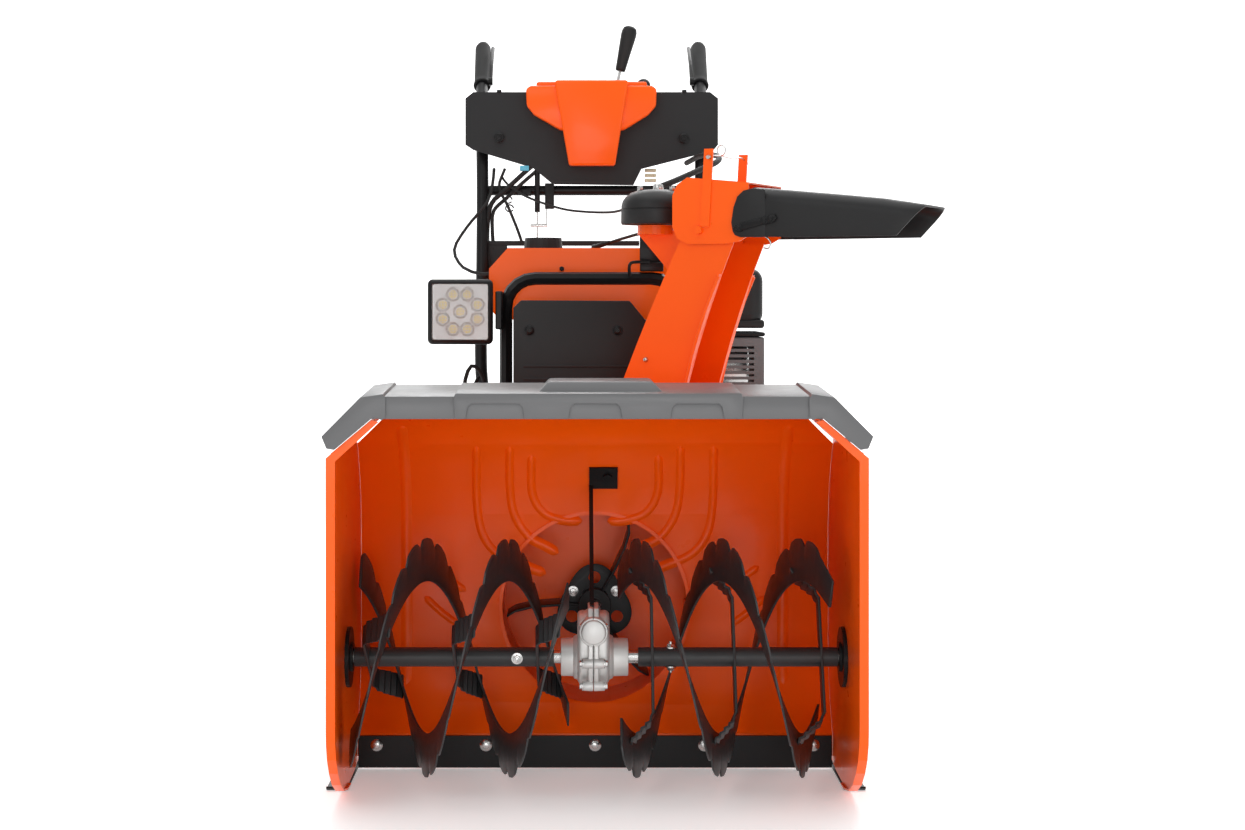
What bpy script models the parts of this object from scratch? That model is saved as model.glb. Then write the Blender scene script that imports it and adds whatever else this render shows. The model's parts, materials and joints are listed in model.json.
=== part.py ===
"""Two stage snowblower on rubber tracks: housing, ribbon auger, impeller, turning chute, engine, controls.

Metres, +Z up. The machine faces -Y and the operator's left is +X. The origin is on the ground, under the
middle of the scraper bar. Every moving piece is placed about its own joint's axis, named below.
"""

import math

import bmesh
import bpy
from mathutils import Matrix, Vector

# Driving dimensions
GAP = 0.0003  # clearance between pieces that touch
SHEET = 0.0025  # housing steel
HOUSING_HALF = 0.3725  # machine's middle to a side panel's inner face
FRONT_Y = -0.345
AUGER = (-0.145, 0.200)  # auger axis in Y and Z
DRUM_R = 0.205
DRUM_TOP_Z = 0.565
LIP_Z = 0.020
PANEL_TOE = [  # the side panel's front edge, down and back to its foot, in Y and Z
    (-0.344, 0.130), (-0.341, 0.108), (-0.329, 0.085), (-0.305, 0.061), (-0.268, 0.036),
    (-0.222, 0.017), (-0.175, 0.0080), (-0.130, 0.0055),
]
SCRAPER_TOP_Z = 0.0525
AUGER_ROOT_R = 0.1635
AUGER_TIP_R = 0.178
AUGER_INNER_R = 0.1125
AUGER_LEAD = 0.245
TEETH_PER_TURN = 15
IMPELLER_Z = 0.245
IMPELLER_CASE_R = 0.150
IMPELLER_BACK_Y = 0.163
SEAM_X = -0.004  # where the gearbox halves meet
CHUTE_AXIS = (0.100, 0.120)
CHUTE_HEADING = math.radians(-25)  # the way the chute points at rest, from +X
CHUTE_BASE_Z = 0.4968
CHUTE_TOP_Z = 0.827
CHUTE_HALF = 0.070
HOOD_PIVOT = (0.105, 0.845)  # along the chute's heading, and up
CRANK_Z = 0.520
TRACK_MIDDLE_X = 0.250
TRACK_HALF = 0.065
WHEEL_Z = 0.105
IDLER_Y = 0.280
SPROCKET_Y = 0.660
DECK_Z = 0.400  # chassis top
CHASSIS_HALF = 0.160
PANEL_Y = 0.700
LEVER_PIVOT = (0.800, 1.100)  # console levers, in Y and Z
LAMP_PIVOT = (0.262, 0.715)
FUEL_CAP = (-0.089, 0.505)

FINISHES = {
    "orange_paint": ((1.0, 0.16, 0.01), 0.32, 0.0),
    "black_paint": ((0.018, 0.018, 0.019), 0.38, 0.0),
    "grey_plastic": ((0.085, 0.087, 0.09), 0.45, 0.0),
    "black_plastic": ((0.022, 0.022, 0.023), 0.5, 0.0),
    "cast_aluminium": ((0.62, 0.61, 0.6), 0.42, 0.9),
    "steel": ((0.5, 0.5, 0.5), 0.35, 1.0),
    "rubber": ((0.02, 0.02, 0.02), 0.75, 0.0),
}
MATERIALS = {}
PARTS = "two_stage_snowblower"
HELPERS = "cutters"


# ---------------------------------------------------------------- scene and shape helpers
def clear_scene():
    for obj in list(bpy.data.objects):
        bpy.data.objects.remove(obj, do_unlink=True)
    for name in (PARTS, HELPERS):
        bpy.context.scene.collection.children.link(bpy.data.collections.new(name))
    for name, (colour, roughness, metallic) in FINISHES.items():
        material = bpy.data.materials.new(name)
        material.use_nodes = True
        shader = material.node_tree.nodes["Principled BSDF"]
        shader.inputs["Base Color"].default_value = (*colour, 1)
        shader.inputs["Roughness"].default_value = roughness
        shader.inputs["Metallic"].default_value = metallic
        MATERIALS[name] = material


def link(name, mesh):
    obj = bpy.data.objects.new(name, mesh)
    bpy.data.collections[PARTS].objects.link(obj)
    return obj


def from_bmesh(name, bm):
    mesh = bpy.data.meshes.new(name)
    bmesh.ops.recalc_face_normals(bm, faces=bm.faces)
    bm.to_mesh(mesh)
    bm.free()
    return link(name, mesh)


def block(low, high, bevel=0.0):
    """A box between two corners, with rounded edges if bevel is set."""
    bm = bmesh.new()
    bmesh.ops.create_cube(bm, size=1)
    size = [b - a for a, b in zip(low, high)]
    middle = [(a + b) / 2 for a, b in zip(low, high)]
    bmesh.ops.transform(bm, matrix=Matrix.Translation(middle) @ Matrix.Diagonal((*size, 1)), verts=bm.verts)
    if bevel:
        bmesh.ops.bevel(bm, geom=bm.edges, offset=bevel, segments=1, affect="EDGES", profile=0.5)
    return from_bmesh("block", bm)


def rod(start, end, radius, end_radius=None, sides=16):
    """A cylinder or cone from one point to another."""
    start, end = Vector(start), Vector(end)
    along = end - start
    bm = bmesh.new()
    turn = along.to_track_quat("Z", "Y").to_matrix().to_4x4()
    bmesh.ops.create_cone(
        bm,
        cap_ends=True,
        segments=sides,
        radius1=radius,
        radius2=radius if end_radius is None else end_radius,
        depth=along.length,
        matrix=Matrix.Translation((start + end) / 2) @ turn,
    )
    return from_bmesh("rod", bm)


def curve_to_mesh(name, data, matrix):
    """The curve's evaluated mesh in world space, its caps welded."""
    guide = link(name, data)
    guide.matrix_world = matrix
    bpy.context.view_layer.update()
    graph = bpy.context.evaluated_depsgraph_get()
    mesh = bpy.data.meshes.new_from_object(guide.evaluated_get(graph))
    bpy.data.objects.remove(guide, do_unlink=True)
    bpy.data.curves.remove(data)
    bm = bmesh.new()
    bm.from_mesh(mesh)
    bpy.data.meshes.remove(mesh)
    bmesh.ops.remove_doubles(bm, verts=bm.verts, dist=1e-5)
    bmesh.ops.transform(bm, matrix=matrix, verts=bm.verts)
    return from_bmesh(name, bm)


PLANES = {
    "X": ((0, 1, 0), (0, 0, 1)),
    "Y": ((1, 0, 0), (0, 0, 1)),
    "Z": ((1, 0, 0), (0, 1, 0)),
}


def prism(outlines, axis, low, high, origin=(0, 0, 0)):
    """A flat outline, or an outline and its holes, given thickness from low to high along an axis.

    axis is X, Y or Z, or a pair of directions for the outline's own two axes.
    """
    if isinstance(outlines[0][0], (int, float)):
        outlines = [outlines]
    first, second = (Vector(v) for v in (PLANES[axis] if isinstance(axis, str) else axis))
    normal = first.cross(second)
    sign = -1 if axis == "Y" else 1
    data = bpy.data.curves.new("prism", "CURVE")
    data.dimensions = "2D"
    data.fill_mode = "BOTH"
    data.extrude = (high - low) / 2
    for points in outlines:
        spline = data.splines.new("POLY")
        spline.points.add(len(points) - 1)
        spline.use_cyclic_u = True
        for point, (a, b) in zip(spline.points, points):
            point.co = (a, b, 0, 1)
    turn = Matrix((first, second, normal)).transposed().to_4x4()
    place = Matrix.Translation(Vector(origin) + normal * sign * (low + high) / 2)
    return curve_to_mesh("prism", data, place @ turn)


def smooth_path(points, spacing):
    """Points about this far apart on a smooth curve through the given ones."""
    points = [Vector(p) for p in points]
    ends = [points[0] * 2 - points[1], *points, points[-1] * 2 - points[-2]]
    path = [points[0]]
    for before, a, b, after in zip(ends, ends[1:], ends[2:], ends[3:]):
        steps = max(1, round((b - a).length / spacing))
        for i in range(1, steps + 1):
            t = i / steps
            bend = 2 * before - 5 * a + 4 * b - after
            twist = -before + 3 * a - 3 * b + after
            path.append(a + ((b - before) * t + bend * t * t + twist * t**3) / 2)
    return path


def tube(points, radius, spacing=0.03):
    """A round tube along a smooth path."""
    path = smooth_path(points, spacing)
    data = bpy.data.curves.new("tube", "CURVE")
    data.dimensions = "3D"
    data.bevel_depth = radius
    data.bevel_resolution = 2
    data.use_fill_caps = True
    spline = data.splines.new("POLY")
    spline.points.add(len(path) - 1)
    for point, place in zip(spline.points, path):
        point.co = (*place, 1)
    return curve_to_mesh("tube", data, Matrix())


def turned(profile, place=None, steps=24):
    """A profile of (radius, height), from its outer top down, turned about Z and then placed."""
    bm = bmesh.new()
    verts = [bm.verts.new((r, 0, z)) for r, z in profile]
    for a, b in zip(verts, verts[1:]):
        bm.edges.new((a, b))
    if profile[0][0] > 0 and profile[-1][0] > 0:
        bm.edges.new((verts[-1], verts[0]))
    mesh = bpy.data.meshes.new("turned")
    bm.to_mesh(mesh)
    bm.free()
    obj = link("turned", mesh)
    screw = obj.modifiers.new("Turn", "SCREW")
    screw.steps = screw.render_steps = steps
    screw.use_merge_vertices = True
    screw.merge_threshold = 0.0001
    bpy.context.view_layer.update()
    solid = bpy.data.meshes.new_from_object(obj.evaluated_get(bpy.context.evaluated_depsgraph_get()))
    bpy.data.objects.remove(obj, do_unlink=True)
    bm = bmesh.new()
    bm.from_mesh(solid)
    bpy.data.meshes.remove(solid)
    bmesh.ops.transform(bm, matrix=place or Matrix(), verts=bm.verts)
    return from_bmesh("turned", bm)


def piece(name, finish, first, join=(), cut=(), late_join=(), late_cut=(), within=None, solver="EXACT"):
    """The named node: first, with join added and cut taken out, the late ones after, kept within a shape."""
    first.name = first.data.name = name
    first.data.materials.clear()
    first.data.materials.append(MATERIALS[finish])
    helpers = [(shape, "UNION") for shape in join]
    helpers += [(shape, "DIFFERENCE") for shape in cut]
    helpers += [(shape, "UNION") for shape in late_join]
    helpers += [(shape, "DIFFERENCE") for shape in late_cut]
    helpers += [(within, "INTERSECT")] if within else []
    for index, (shape, operation) in enumerate(helpers):
        shape.name = f"{name}_{operation.lower()}_{index}"
        shape.hide_render = True
        shape.display_type = "WIRE"
        bpy.data.collections[HELPERS].objects.link(shape)
        bpy.data.collections[PARTS].objects.unlink(shape)
        boolean = first.modifiers.new(shape.name, "BOOLEAN")
        boolean.operation = operation
        boolean.solver = solver
        boolean.object = shape
    first.data.shade_smooth()
    first.data.set_sharp_from_angle(angle=math.radians(35))
    return first


def arc(centre, radius, start, end, steps):
    """Points along an arc in its own plane, angles in degrees."""
    angles = [math.radians(start + (end - start) * i / steps) for i in range(steps + 1)]
    return [(centre[0] + radius * math.cos(a), centre[1] + radius * math.sin(a)) for a in angles]


def helix_ribbon(start, end, inner, outer, thickness, lead, phase, steps_per_turn, hand=1, toothed=0.0):
    """A flat ribbon wound about the X axis. Its angle is 0 straight up and grows towards -Y.

    toothed is how much the outer edge stands out but for every third point, for flat-topped teeth.
    """
    steps = max(2, round(abs(end - start) / lead * steps_per_turn))
    bm = bmesh.new()
    rings = []
    for i in range(steps + 1):
        x = start + (end - start) * i / steps
        angle = hand * 2 * math.pi * (x - phase) / lead
        radii = (inner, outer + toothed * (i % 3 > 0))
        ring = []
        for radius, side in ((radii[0], -1), (radii[1], -1), (radii[1], 1), (radii[0], 1)):
            y, z = -math.sin(angle) * radius, math.cos(angle) * radius
            ring.append(bm.verts.new((x + side * thickness / 2, y, z)))
        rings.append(ring)
    for ring, following in zip(rings, rings[1:]):
        for k in range(4):
            bm.faces.new((ring[k], ring[(k + 1) % 4], following[(k + 1) % 4], following[k]))
    bm.faces.new(rings[0])
    bm.faces.new(list(reversed(rings[-1])))
    return bm


# ---------------------------------------------------------------- auger housing
def drum_line(offset, top_angle=90):
    """The drum wall in Y and Z: the lip behind the scraper, the back, and round towards the top."""
    radius = DRUM_R + offset
    low = arc(AUGER, radius, -45, 0, 6)
    high = arc((AUGER[0], DRUM_TOP_Z - DRUM_R), radius, 0, top_angle, 9)
    return [(offset, LIP_Z), *low, *high]


def drum_envelope(offset, half):
    """The space that the drum wall closes in, as a solid."""
    line = drum_line(offset)
    front = [(-0.9, DRUM_TOP_Z + offset), (-0.9, LIP_Z)]
    return prism(line + front, "X", -half, half)


# The chamfer on the housing's upper corners, as the plane CHAMFER . (x, z) = CHAMFER_AT
CHAMFER = Vector((0.643, 0.766)).normalized()
CHAMFER_AT = 0.636


def chamfer_point(x, lift=0.0):
    """The point of the chamfer plane, moved out by lift, at this distance from the middle."""
    return (x, (CHAMFER_AT + lift - CHAMFER[0] * x) / CHAMFER[1])


def build_auger_housing():
    inner, outer = drum_line(0), drum_line(SHEET)
    top = FRONT_Y + 0.0033
    sheet = [*inner, (top, DRUM_TOP_Z), (top, DRUM_TOP_Z + SHEET), *reversed(outer)]
    half = HOUSING_HALF - GAP
    cuts = [rod((0, -0.05, IMPELLER_Z), (0, 0.2, IMPELLER_Z), 0.1475, sides=36)]
    for side in (1, -1):
        low, high = chamfer_point(0.45, -GAP), chamfer_point(0.25, -GAP)
        corner = [low, (0.45, 0.7), (0.25, 0.7), high]
        cuts.append(prism([(side * x, z) for x, z in corner], "Y", -0.45, 0.15))
    piece("auger_housing", "orange_paint", prism(sheet, "X", -half, half), cut=cuts)


def build_side_panel(name, side):
    top_z = 0.5175
    radius = DRUM_R + 0.006
    top_angle = math.degrees(math.asin((top_z - DRUM_TOP_Z + DRUM_R) / radius))
    outline = [(0.012, 0.013), *drum_line(0.006, top_angle)[1:]]
    outline += [(FRONT_Y + 0.001, top_z), *PANEL_TOE, (-0.040, 0.007)]
    plate = prism(outline, "X", *sorted((side * HOUSING_HALF, side * (HOUSING_HALF + 0.003))))
    edge = [(y - 0.0010, z) for y, z in PANEL_TOE] + [(y + 0.0025, z + 0.0020) for y, z in PANEL_TOE[::-1]]
    toe = prism(edge, "X", *sorted((side * 0.3685, side * 0.3815)))

    slab = [chamfer_point(0.3745), chamfer_point(0.3745, SHEET)]
    slab += [chamfer_point(0.3175, SHEET), chamfer_point(0.3165)]
    facet = prism([(side * x, z) for x, z in slab], "Y", FRONT_Y + 0.001, 0.05)
    clip = facet.modifiers.new("Clip", "BOOLEAN")
    clip.operation = "INTERSECT"
    clip.object = drum_envelope(SHEET, 0.42)
    clip.object.name = name + "_facet_limit"
    clip.object.hide_render = True
    clip.object.display_type = "WIRE"

    flange = [(0.3815, 0.128), (0.3815, 0.5125), (0.3165, 0.5665), (0.3075, 0.5635)]
    flange += [(0.3685, 0.508), (0.3685, 0.128)]
    front = prism([(side * x, z) for x, z in flange], "Y", FRONT_Y, FRONT_Y + 0.003)
    hole = rod((side * 0.36, *AUGER), (side * 0.39, *AUGER), 0.0125)
    piece(name, "orange_paint", plate, join=[facet, front, toe], cut=[hole])


def build_housing_cover():
    """The plastic cover over the housing's top edge, with wings down its chamfered corners."""
    low_in, low_out = chamfer_point(0.3175, 0.0032), chamfer_point(0.367, 0.0032)
    half = [low_in, low_out, (0.379, 0.5275), (0.386, 0.543), (0.331, 0.597), (0.301, 0.601), (0.295, 0.594)]
    outline = half + [(-x, z) for x, z in reversed(half)]
    shell = prism(outline, "Y", -0.349, -0.150)
    rise = 0.009
    for vert in shell.data.vertices:
        if vert.co.y > -0.2 and vert.co.z > 0.59:
            vert.co.z += rise
    skin = 0.003
    inner = [chamfer_point(0.316, -0.01), chamfer_point(0.372, -0.01), (0.372, 0.5275), (0.3815, 0.543)]
    inner += [(0.329, 0.594), (0.300, 0.597), (0.293, 0.594 - skin)]
    hollow = prism(inner + [(-x, z) for x, z in reversed(inner)], "Y", -0.3457, -0.1)
    hump = prism([(-0.085, 0.590), (0.095, 0.590), (0.078, 0.619), (-0.068, 0.619)], "Y", -0.325, -0.170)
    piece("housing_cover", "grey_plastic", shell, join=[hump], cut=[hollow])


def build_impeller_housing():
    x, y = CHUTE_AXIS
    case = rod((0, 0.02, IMPELLER_Z), (0, IMPELLER_BACK_Y, IMPELLER_Z), IMPELLER_CASE_R, sides=36)
    duct = block((x - 0.060, 0.0628, IMPELLER_Z), (x + 0.060, IMPELLER_BACK_Y, 0.495))
    flange = rod((x, y, 0.490), (x, y, 0.4965), 0.095, sides=32)
    bore = IMPELLER_CASE_R - SHEET
    cuts = [
        rod((0, -0.1, IMPELLER_Z), (0, IMPELLER_BACK_Y - 0.003, IMPELLER_Z), bore, sides=36),
        block((x - 0.0575, 0.0653, IMPELLER_Z), (x + 0.0575, IMPELLER_BACK_Y - SHEET, 0.6)),
        drum_envelope(SHEET + GAP, 0.42),
        rod((0, 0.1, IMPELLER_Z), (0, 0.2, IMPELLER_Z), 0.0125),
    ]
    piece("impeller_housing", "orange_paint", case, join=[duct, flange], cut=cuts)


def build_scraper_bar():
    half = HOUSING_HALF - 0.002
    bar = block((-half, -0.0063, 0.003), (half, -GAP, SCRAPER_TOP_Z))
    places = [i * 0.171 for i in range(-2, 3)]
    heads = [rod((x, -0.0055, 0.038), (x, -0.0095, 0.038), 0.009, 0.005, 12) for x in places]
    piece("scraper_bar", "black_paint", bar, join=heads)


def build_skid_shoe(name, side):
    """A flat sole beside the housing's foot, with its web bolted to the side panel."""
    sole = [(-0.150, 0.004), (-0.143, 0), (0.020, 0), (0.032, 0.010), (0.030, 0.0125), (0.019, 0.003)]
    sole += [(-0.142, 0.003), (-0.149, 0.0065)]
    shoe = prism(sole, "X", *sorted((side * 0.3720, side * 0.4040)))
    web = prism([(-0.120, 0.002), (0.005, 0.002), (-0.010, 0.075), (-0.105, 0.075)], "X",
                *sorted((side * 0.3758, side * 0.3790)))
    bolts = []
    for y in (-0.085, -0.030):
        bolts.append(rod((side * 0.3785, y, 0.048), (side * 0.3835, y, 0.048), 0.007, sides=6))
    piece(name, "black_paint", shoe, join=[web, *bolts])


def build_gearbox_strap():
    centre = (AUGER[0], DRUM_TOP_Z - DRUM_R)
    tab = prism(arc(centre, 0.2036, 22, 33, 3) + arc(centre, 0.2006, 33, 22, 3), "X", -0.009, 0.036)
    strip = [(-0.1415, 0.2763), (-0.1385, 0.2763), (0.0415, 0.4395), (0.0385, 0.4415), (-0.1430, 0.2784)]
    foot = block((-0.0087, -0.158, 0.2756), (-0.0033, -0.128, 0.2792))
    bolt = rod((0.020, 0.0345, 0.4545), (0.020, 0.0285, 0.4515), 0.008, sides=6)
    piece("gearbox_strap", "black_paint", tab, join=[prism(strip, "X", -0.0093, -0.0030), foot, bolt])


def build_auger_bearing(name, side):
    def at(x):
        return (side * x, *AUGER)

    disc = rod(at(HOUSING_HALF - GAP), at(0.3665), 0.045, sides=32)
    boss = rod(at(0.368), at(0.3630), 0.022)
    piece(name, "black_paint", disc, join=[boss], cut=[rod(at(0.35), at(0.39), 0.0100)])


# ---------------------------------------------------------------- auger and gearbox
def build_auger_shaft():
    shaft = rod((-0.3785, *AUGER), (0.3785, *AUGER), 0.0095)
    piece("auger_shaft", "steel", shaft)


def strap(bar_x, ribbon_x, angle):
    """A flat bar across the tube whose ends bend in to the ribbons, leaning this far forward from upright."""
    half = [(bar_x, 0.090), (ribbon_x, 0.134)]
    line = [(x, -radius) for x, radius in reversed(half)] + half
    outline = [(x - 0.0023, r) for x, r in line] + [(x + 0.0023, r) for x, r in reversed(line)]
    lean = math.radians(angle)
    along = (0, -math.sin(lean), math.cos(lean))
    return prism(outline, ((1, 0, 0), along), -0.0170, 0.0170, origin=(0, *AUGER))


def build_auger(name, side, ends, phase, strap_angle, bolt_axis, bolt_x):
    """One toothed ribbon auger on its tube: two ribbons half a turn apart, held by three straps."""
    place = Matrix.Translation((0, *AUGER))
    core = rod((side * 0.063, *AUGER), (side * 0.362, *AUGER), 0.0143)
    shapes = []
    for start in (0, 1):
        ribbon = helix_ribbon(
            *ends,
            AUGER_INNER_R,
            AUGER_ROOT_R,
            0.004,
            AUGER_LEAD,
            phase + start * AUGER_LEAD / 2,
            3 * TEETH_PER_TURN,
            hand=side,
            toothed=AUGER_TIP_R - AUGER_ROOT_R,
        )
        bmesh.ops.transform(ribbon, matrix=place, verts=ribbon.verts)
        shapes.append(from_bmesh("ribbon", ribbon))
    crossing = phase + side * strap_angle / 360 * AUGER_LEAD + (AUGER_LEAD / 2 if side < 0 else 0)
    for index, reach in enumerate((0.033, 0.033, 0.041)):
        ribbon_x = crossing + side * index * AUGER_LEAD / 2
        shapes.append(strap(ribbon_x + side * reach, ribbon_x, strap_angle))
    for end in (1, -1):
        foot = Vector((bolt_x, *AUGER)) + Vector(bolt_axis) * 0.0125 * end
        head = Vector((bolt_x, *AUGER)) + Vector(bolt_axis) * 0.0210 * end
        shapes.append(rod(foot, head, 0.0065, sides=6))
    bore = rod((side * 0.05, *AUGER), (side * 0.38, *AUGER), 0.0098)
    piece(name, "black_paint", core, join=shapes, cut=[bore], solver="MANIFOLD")


def gearbox_outline(grow):
    y, z = AUGER
    round_end = arc(AUGER, 0.042 + grow, 180, 360, 14)
    return round_end + [(y + 0.042 + grow, z + 0.058), (y + 0.032 + grow, z + 0.068 + grow * 0.8),
                        (y - 0.032 - grow, z + 0.068 + grow * 0.8), (y - 0.042 - grow, z + 0.058)]


def build_gearbox_half(name, low, high):
    """One half of the cast gearbox, from x = low to x = high, hollow for the worm and its wheel."""
    y, z = AUGER
    body = prism(gearbox_outline(0), "X", SEAM_X - 0.026, SEAM_X + 0.026)
    shapes = [
        prism(gearbox_outline(0.009), "X", SEAM_X - 0.008, SEAM_X + 0.0085),
        rod((-0.0525, y, z), (0.048, y, z), 0.0285, sides=28),
        rod((0, y - 0.055, IMPELLER_Z), (0, y + 0.055, IMPELLER_Z), 0.022),
    ]
    cuts = [
        rod((-0.0125, y, z), (0.0125, y, z), 0.0340, sides=32),
        rod((-0.1, y, z), (0.1, y, z), 0.0100),
        rod((0, y - 0.1, IMPELLER_Z), (0, y + 0.1, IMPELLER_Z), 0.0105),
        rod((0, y - 0.030, IMPELLER_Z), (0, y + 0.030, IMPELLER_Z), 0.0138),
    ]
    limit = block((low, -0.3, 0), (high, 0.1, 0.4))
    piece(name, "cast_aluminium", body, join=shapes, cut=cuts, within=limit)


def gear_outline(teeth, root, tip):
    """A plain toothed outline, four points a tooth."""
    points = []
    for tooth in range(teeth):
        for share, radius in ((0.0, root), (0.30, root), (0.42, tip), (0.88, tip)):
            angle = 2 * math.pi * (tooth + share) / teeth
            points.append((radius * math.cos(angle), radius * math.sin(angle)))
    return points


def build_worm_gear():
    wheel = prism(gear_outline(20, 0.0285, 0.0318), "X", -0.009, 0.009, origin=(0, *AUGER))
    piece("worm_gear", "steel", wheel, cut=[rod((-0.02, *AUGER), (0.02, *AUGER), 0.0098)])


def build_impeller():
    z = IMPELLER_Z
    hub = rod((0, 0.076, z), (0, 0.150, z), 0.026)
    plate = rod((0, 0.100, z), (0, 0.104, z), 0.062, sides=32)
    shapes = [plate]
    for angle in (60, 180, 300):
        turn = Matrix.Translation((0, 0, z)) @ Matrix.Rotation(-math.radians(angle), 4, "Y")
        blade = block((0.018, 0.078, -0.002), (0.142, 0.148, 0.002))
        blade.data.transform(turn)
        shapes.append(blade)
    holes = [rod((0, 0.01, z), (0, 0.2, z), 0.0103)]
    for angle in (90, 210, 330):
        a = math.radians(angle)
        x, up = 0.044 * math.cos(a), z + 0.044 * math.sin(a)
        holes.append(rod((x, 0.095, up), (x, 0.109, up), 0.009, sides=16))
    piece("impeller", "black_paint", hub, join=shapes, cut=holes)


def build_impeller_shaft():
    """The shaft from the gearbox to the belt pulley, with the worm near its front end."""
    z = IMPELLER_Z
    shaft = rod((0, -0.188, z), (0, 0.302, z), 0.0100)
    threads = []
    for start in (0, 1):
        ribbon = helix_ribbon(-0.024, 0.024, 0.0085, 0.0128, 0.004, 0.024, start * 0.012, 8)
        turn = Matrix.Translation((0, AUGER[0], z)) @ Matrix.Rotation(math.radians(90), 4, "Z")
        bmesh.ops.transform(ribbon, matrix=turn, verts=ribbon.verts)
        threads.append(from_bmesh("thread", ribbon))
    piece("impeller_shaft", "steel", shaft, join=threads)


# ---------------------------------------------------------------- belt drive
def pulley_profile(rim, groove, half, bore):
    """A V pulley's section, from its outer top down, back up the bore."""
    return [(rim, half), (rim, half - 0.0040), (groove, half - 0.0055), (groove, 0.0055 - half),
            (rim, 0.0040 - half), (rim, -half), (bore, -half), (bore, half)]


def along_y(y, z, x=0.0):
    """Turns a shape made about Z so that its axis runs along +Y, at this place."""
    return Matrix.Translation((x, y, z)) @ Matrix.Rotation(math.radians(-90), 4, "X")


def build_pulleys():
    lower = turned(pulley_profile(0.100, 0.0905, 0.0125, 0.0103), along_y(0.2825, IMPELLER_Z))
    piece("impeller_pulley", "steel", lower)
    upper = turned(pulley_profile(0.045, 0.0360, 0.0125, 0.0100), along_y(0.2825, CRANK_Z))
    crank = rod((0, 0.262, CRANK_Z), (0, 0.400, CRANK_Z), 0.0125)
    piece("engine_pulley", "steel", crank, join=[upper])


def belt_line(grow):
    """The belt's loop about the two pulleys in X and Z, its tangent runs left to the straight edges."""
    upper, lower = 0.0365 + grow, 0.0915 + grow
    lean = math.degrees(math.asin((lower - upper) / (CRANK_Z - IMPELLER_Z)))
    top = arc((0, CRANK_Z), upper, lean, 180 - lean, 12)
    return top + arc((0, IMPELLER_Z), lower, 180 - lean, 360 + lean, 20)


def build_drive_belt():
    piece("drive_belt", "rubber", prism([belt_line(0.008), belt_line(0)], "Y", 0.2780, 0.2870))


def build_belt_tensioner():
    x, z = -0.110, 0.600
    arm = block((x - 0.008, 0.2930, 0.440), (x + 0.020, 0.2970, z + 0.012))
    pin = rod((x, 0.2935, z), (x, 0.3440, z), 0.006, sides=16)
    wheel = rod((x + 0.010, 0.2740, 0.450), (x + 0.010, 0.2935, 0.450), 0.018)
    piece("belt_tensioner", "steel", arm, join=[pin, wheel])


# ---------------------------------------------------------------- chassis and tracks
def build_chassis():
    wall, front, back = 0.004, IMPELLER_BACK_Y + GAP, 0.740
    half = CHASSIS_HALF
    box = block((-half, front, 0.130), (half, back, DECK_Z))
    cuts = [
        block((wall - half, front + wall, 0.1), (half - wall, back - wall, DECK_Z - wall)),
        block((-0.135, 0.200, 0.3), (0.135, 0.338, 0.5)),
        rod((0, 0.1, IMPELLER_Z), (0, 0.2, IMPELLER_Z), 0.0125),
    ]
    piece("chassis", "black_paint", box, cut=cuts)


def build_transmission():
    case = block((-0.095, 0.595, 0.065), (0.095, 0.725, 0.300), bevel=0.012)
    column = block((-0.060, 0.620, 0.280), (0.060, 0.700, DECK_Z - 0.0045))
    hole = rod((-0.2, SPROCKET_Y, WHEEL_Z), (0.2, SPROCKET_Y, WHEEL_Z), 0.0130)
    piece("transmission", "cast_aluminium", case, join=[column], cut=[hole])


def build_drive_axle():
    reach = TRACK_MIDDLE_X + 0.042
    axle = rod((-reach, SPROCKET_Y, WHEEL_Z), (reach, SPROCKET_Y, WHEEL_Z), 0.0125)
    piece("drive_axle", "steel", axle)


def build_wheels(name, side):
    """A drive sprocket or an idler wheel inside a track, its width along X."""
    low, high = sorted((side * (TRACK_MIDDLE_X - 0.025), side * (TRACK_MIDDLE_X + 0.025)))
    if name.startswith("sprocket"):
        y, bore = SPROCKET_Y, 0.0128
        wheel = prism(gear_outline(12, 0.068, 0.079), "X", low, high, origin=(0, y, WHEEL_Z))
    else:
        y, bore = IDLER_Y, 0.0103
        wheel = rod((low, y, WHEEL_Z), (high, y, WHEEL_Z), 0.080, sides=36)
    piece(name, "black_plastic", wheel, cut=[rod((low - 0.1, y, WHEEL_Z), (high + 0.1, y, WHEEL_Z), bore)])


def build_track(name, side):
    """The rubber track as one closed loop about its two wheels, with its lugs on the outside."""
    flat, radius, inner, lug = SPROCKET_Y - IDLER_Y, 0.095, 0.083, 0.010
    around = 2 * flat + 2 * math.pi * radius
    count = 24

    def point(distance, out):
        """The loop's point this far along it from the bottom's front end, out from the wheels' line."""
        distance %= around
        bend = math.pi * radius
        if distance < flat:
            return (IDLER_Y + distance, WHEEL_Z - out)
        if distance < flat + bend:
            turn = (distance - flat) / radius - math.pi / 2
            return (SPROCKET_Y + out * math.cos(turn), WHEEL_Z + out * math.sin(turn))
        if distance < 2 * flat + bend:
            return (SPROCKET_Y - (distance - flat - bend), WHEEL_Z + out)
        turn = (distance - 2 * flat - bend) / radius + math.pi / 2
        return (IDLER_Y + out * math.cos(turn), WHEEL_Z + out * math.sin(turn))

    outer = []
    for i in range(count):
        for share, out in ((0.0, radius), (0.45, radius), (0.55, radius + lug), (0.9, radius + lug)):
            outer.append(point((i + share) * around / count, out))
    hole = arc((SPROCKET_Y, WHEEL_Z), inner, -90, 90, 10) + arc((IDLER_Y, WHEEL_Z), inner, 90, 270, 10)
    low, high = sorted((side * (TRACK_MIDDLE_X - TRACK_HALF), side * (TRACK_MIDDLE_X + TRACK_HALF)))
    piece(name, "rubber", prism([outer, hole], "X", low, high))


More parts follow.
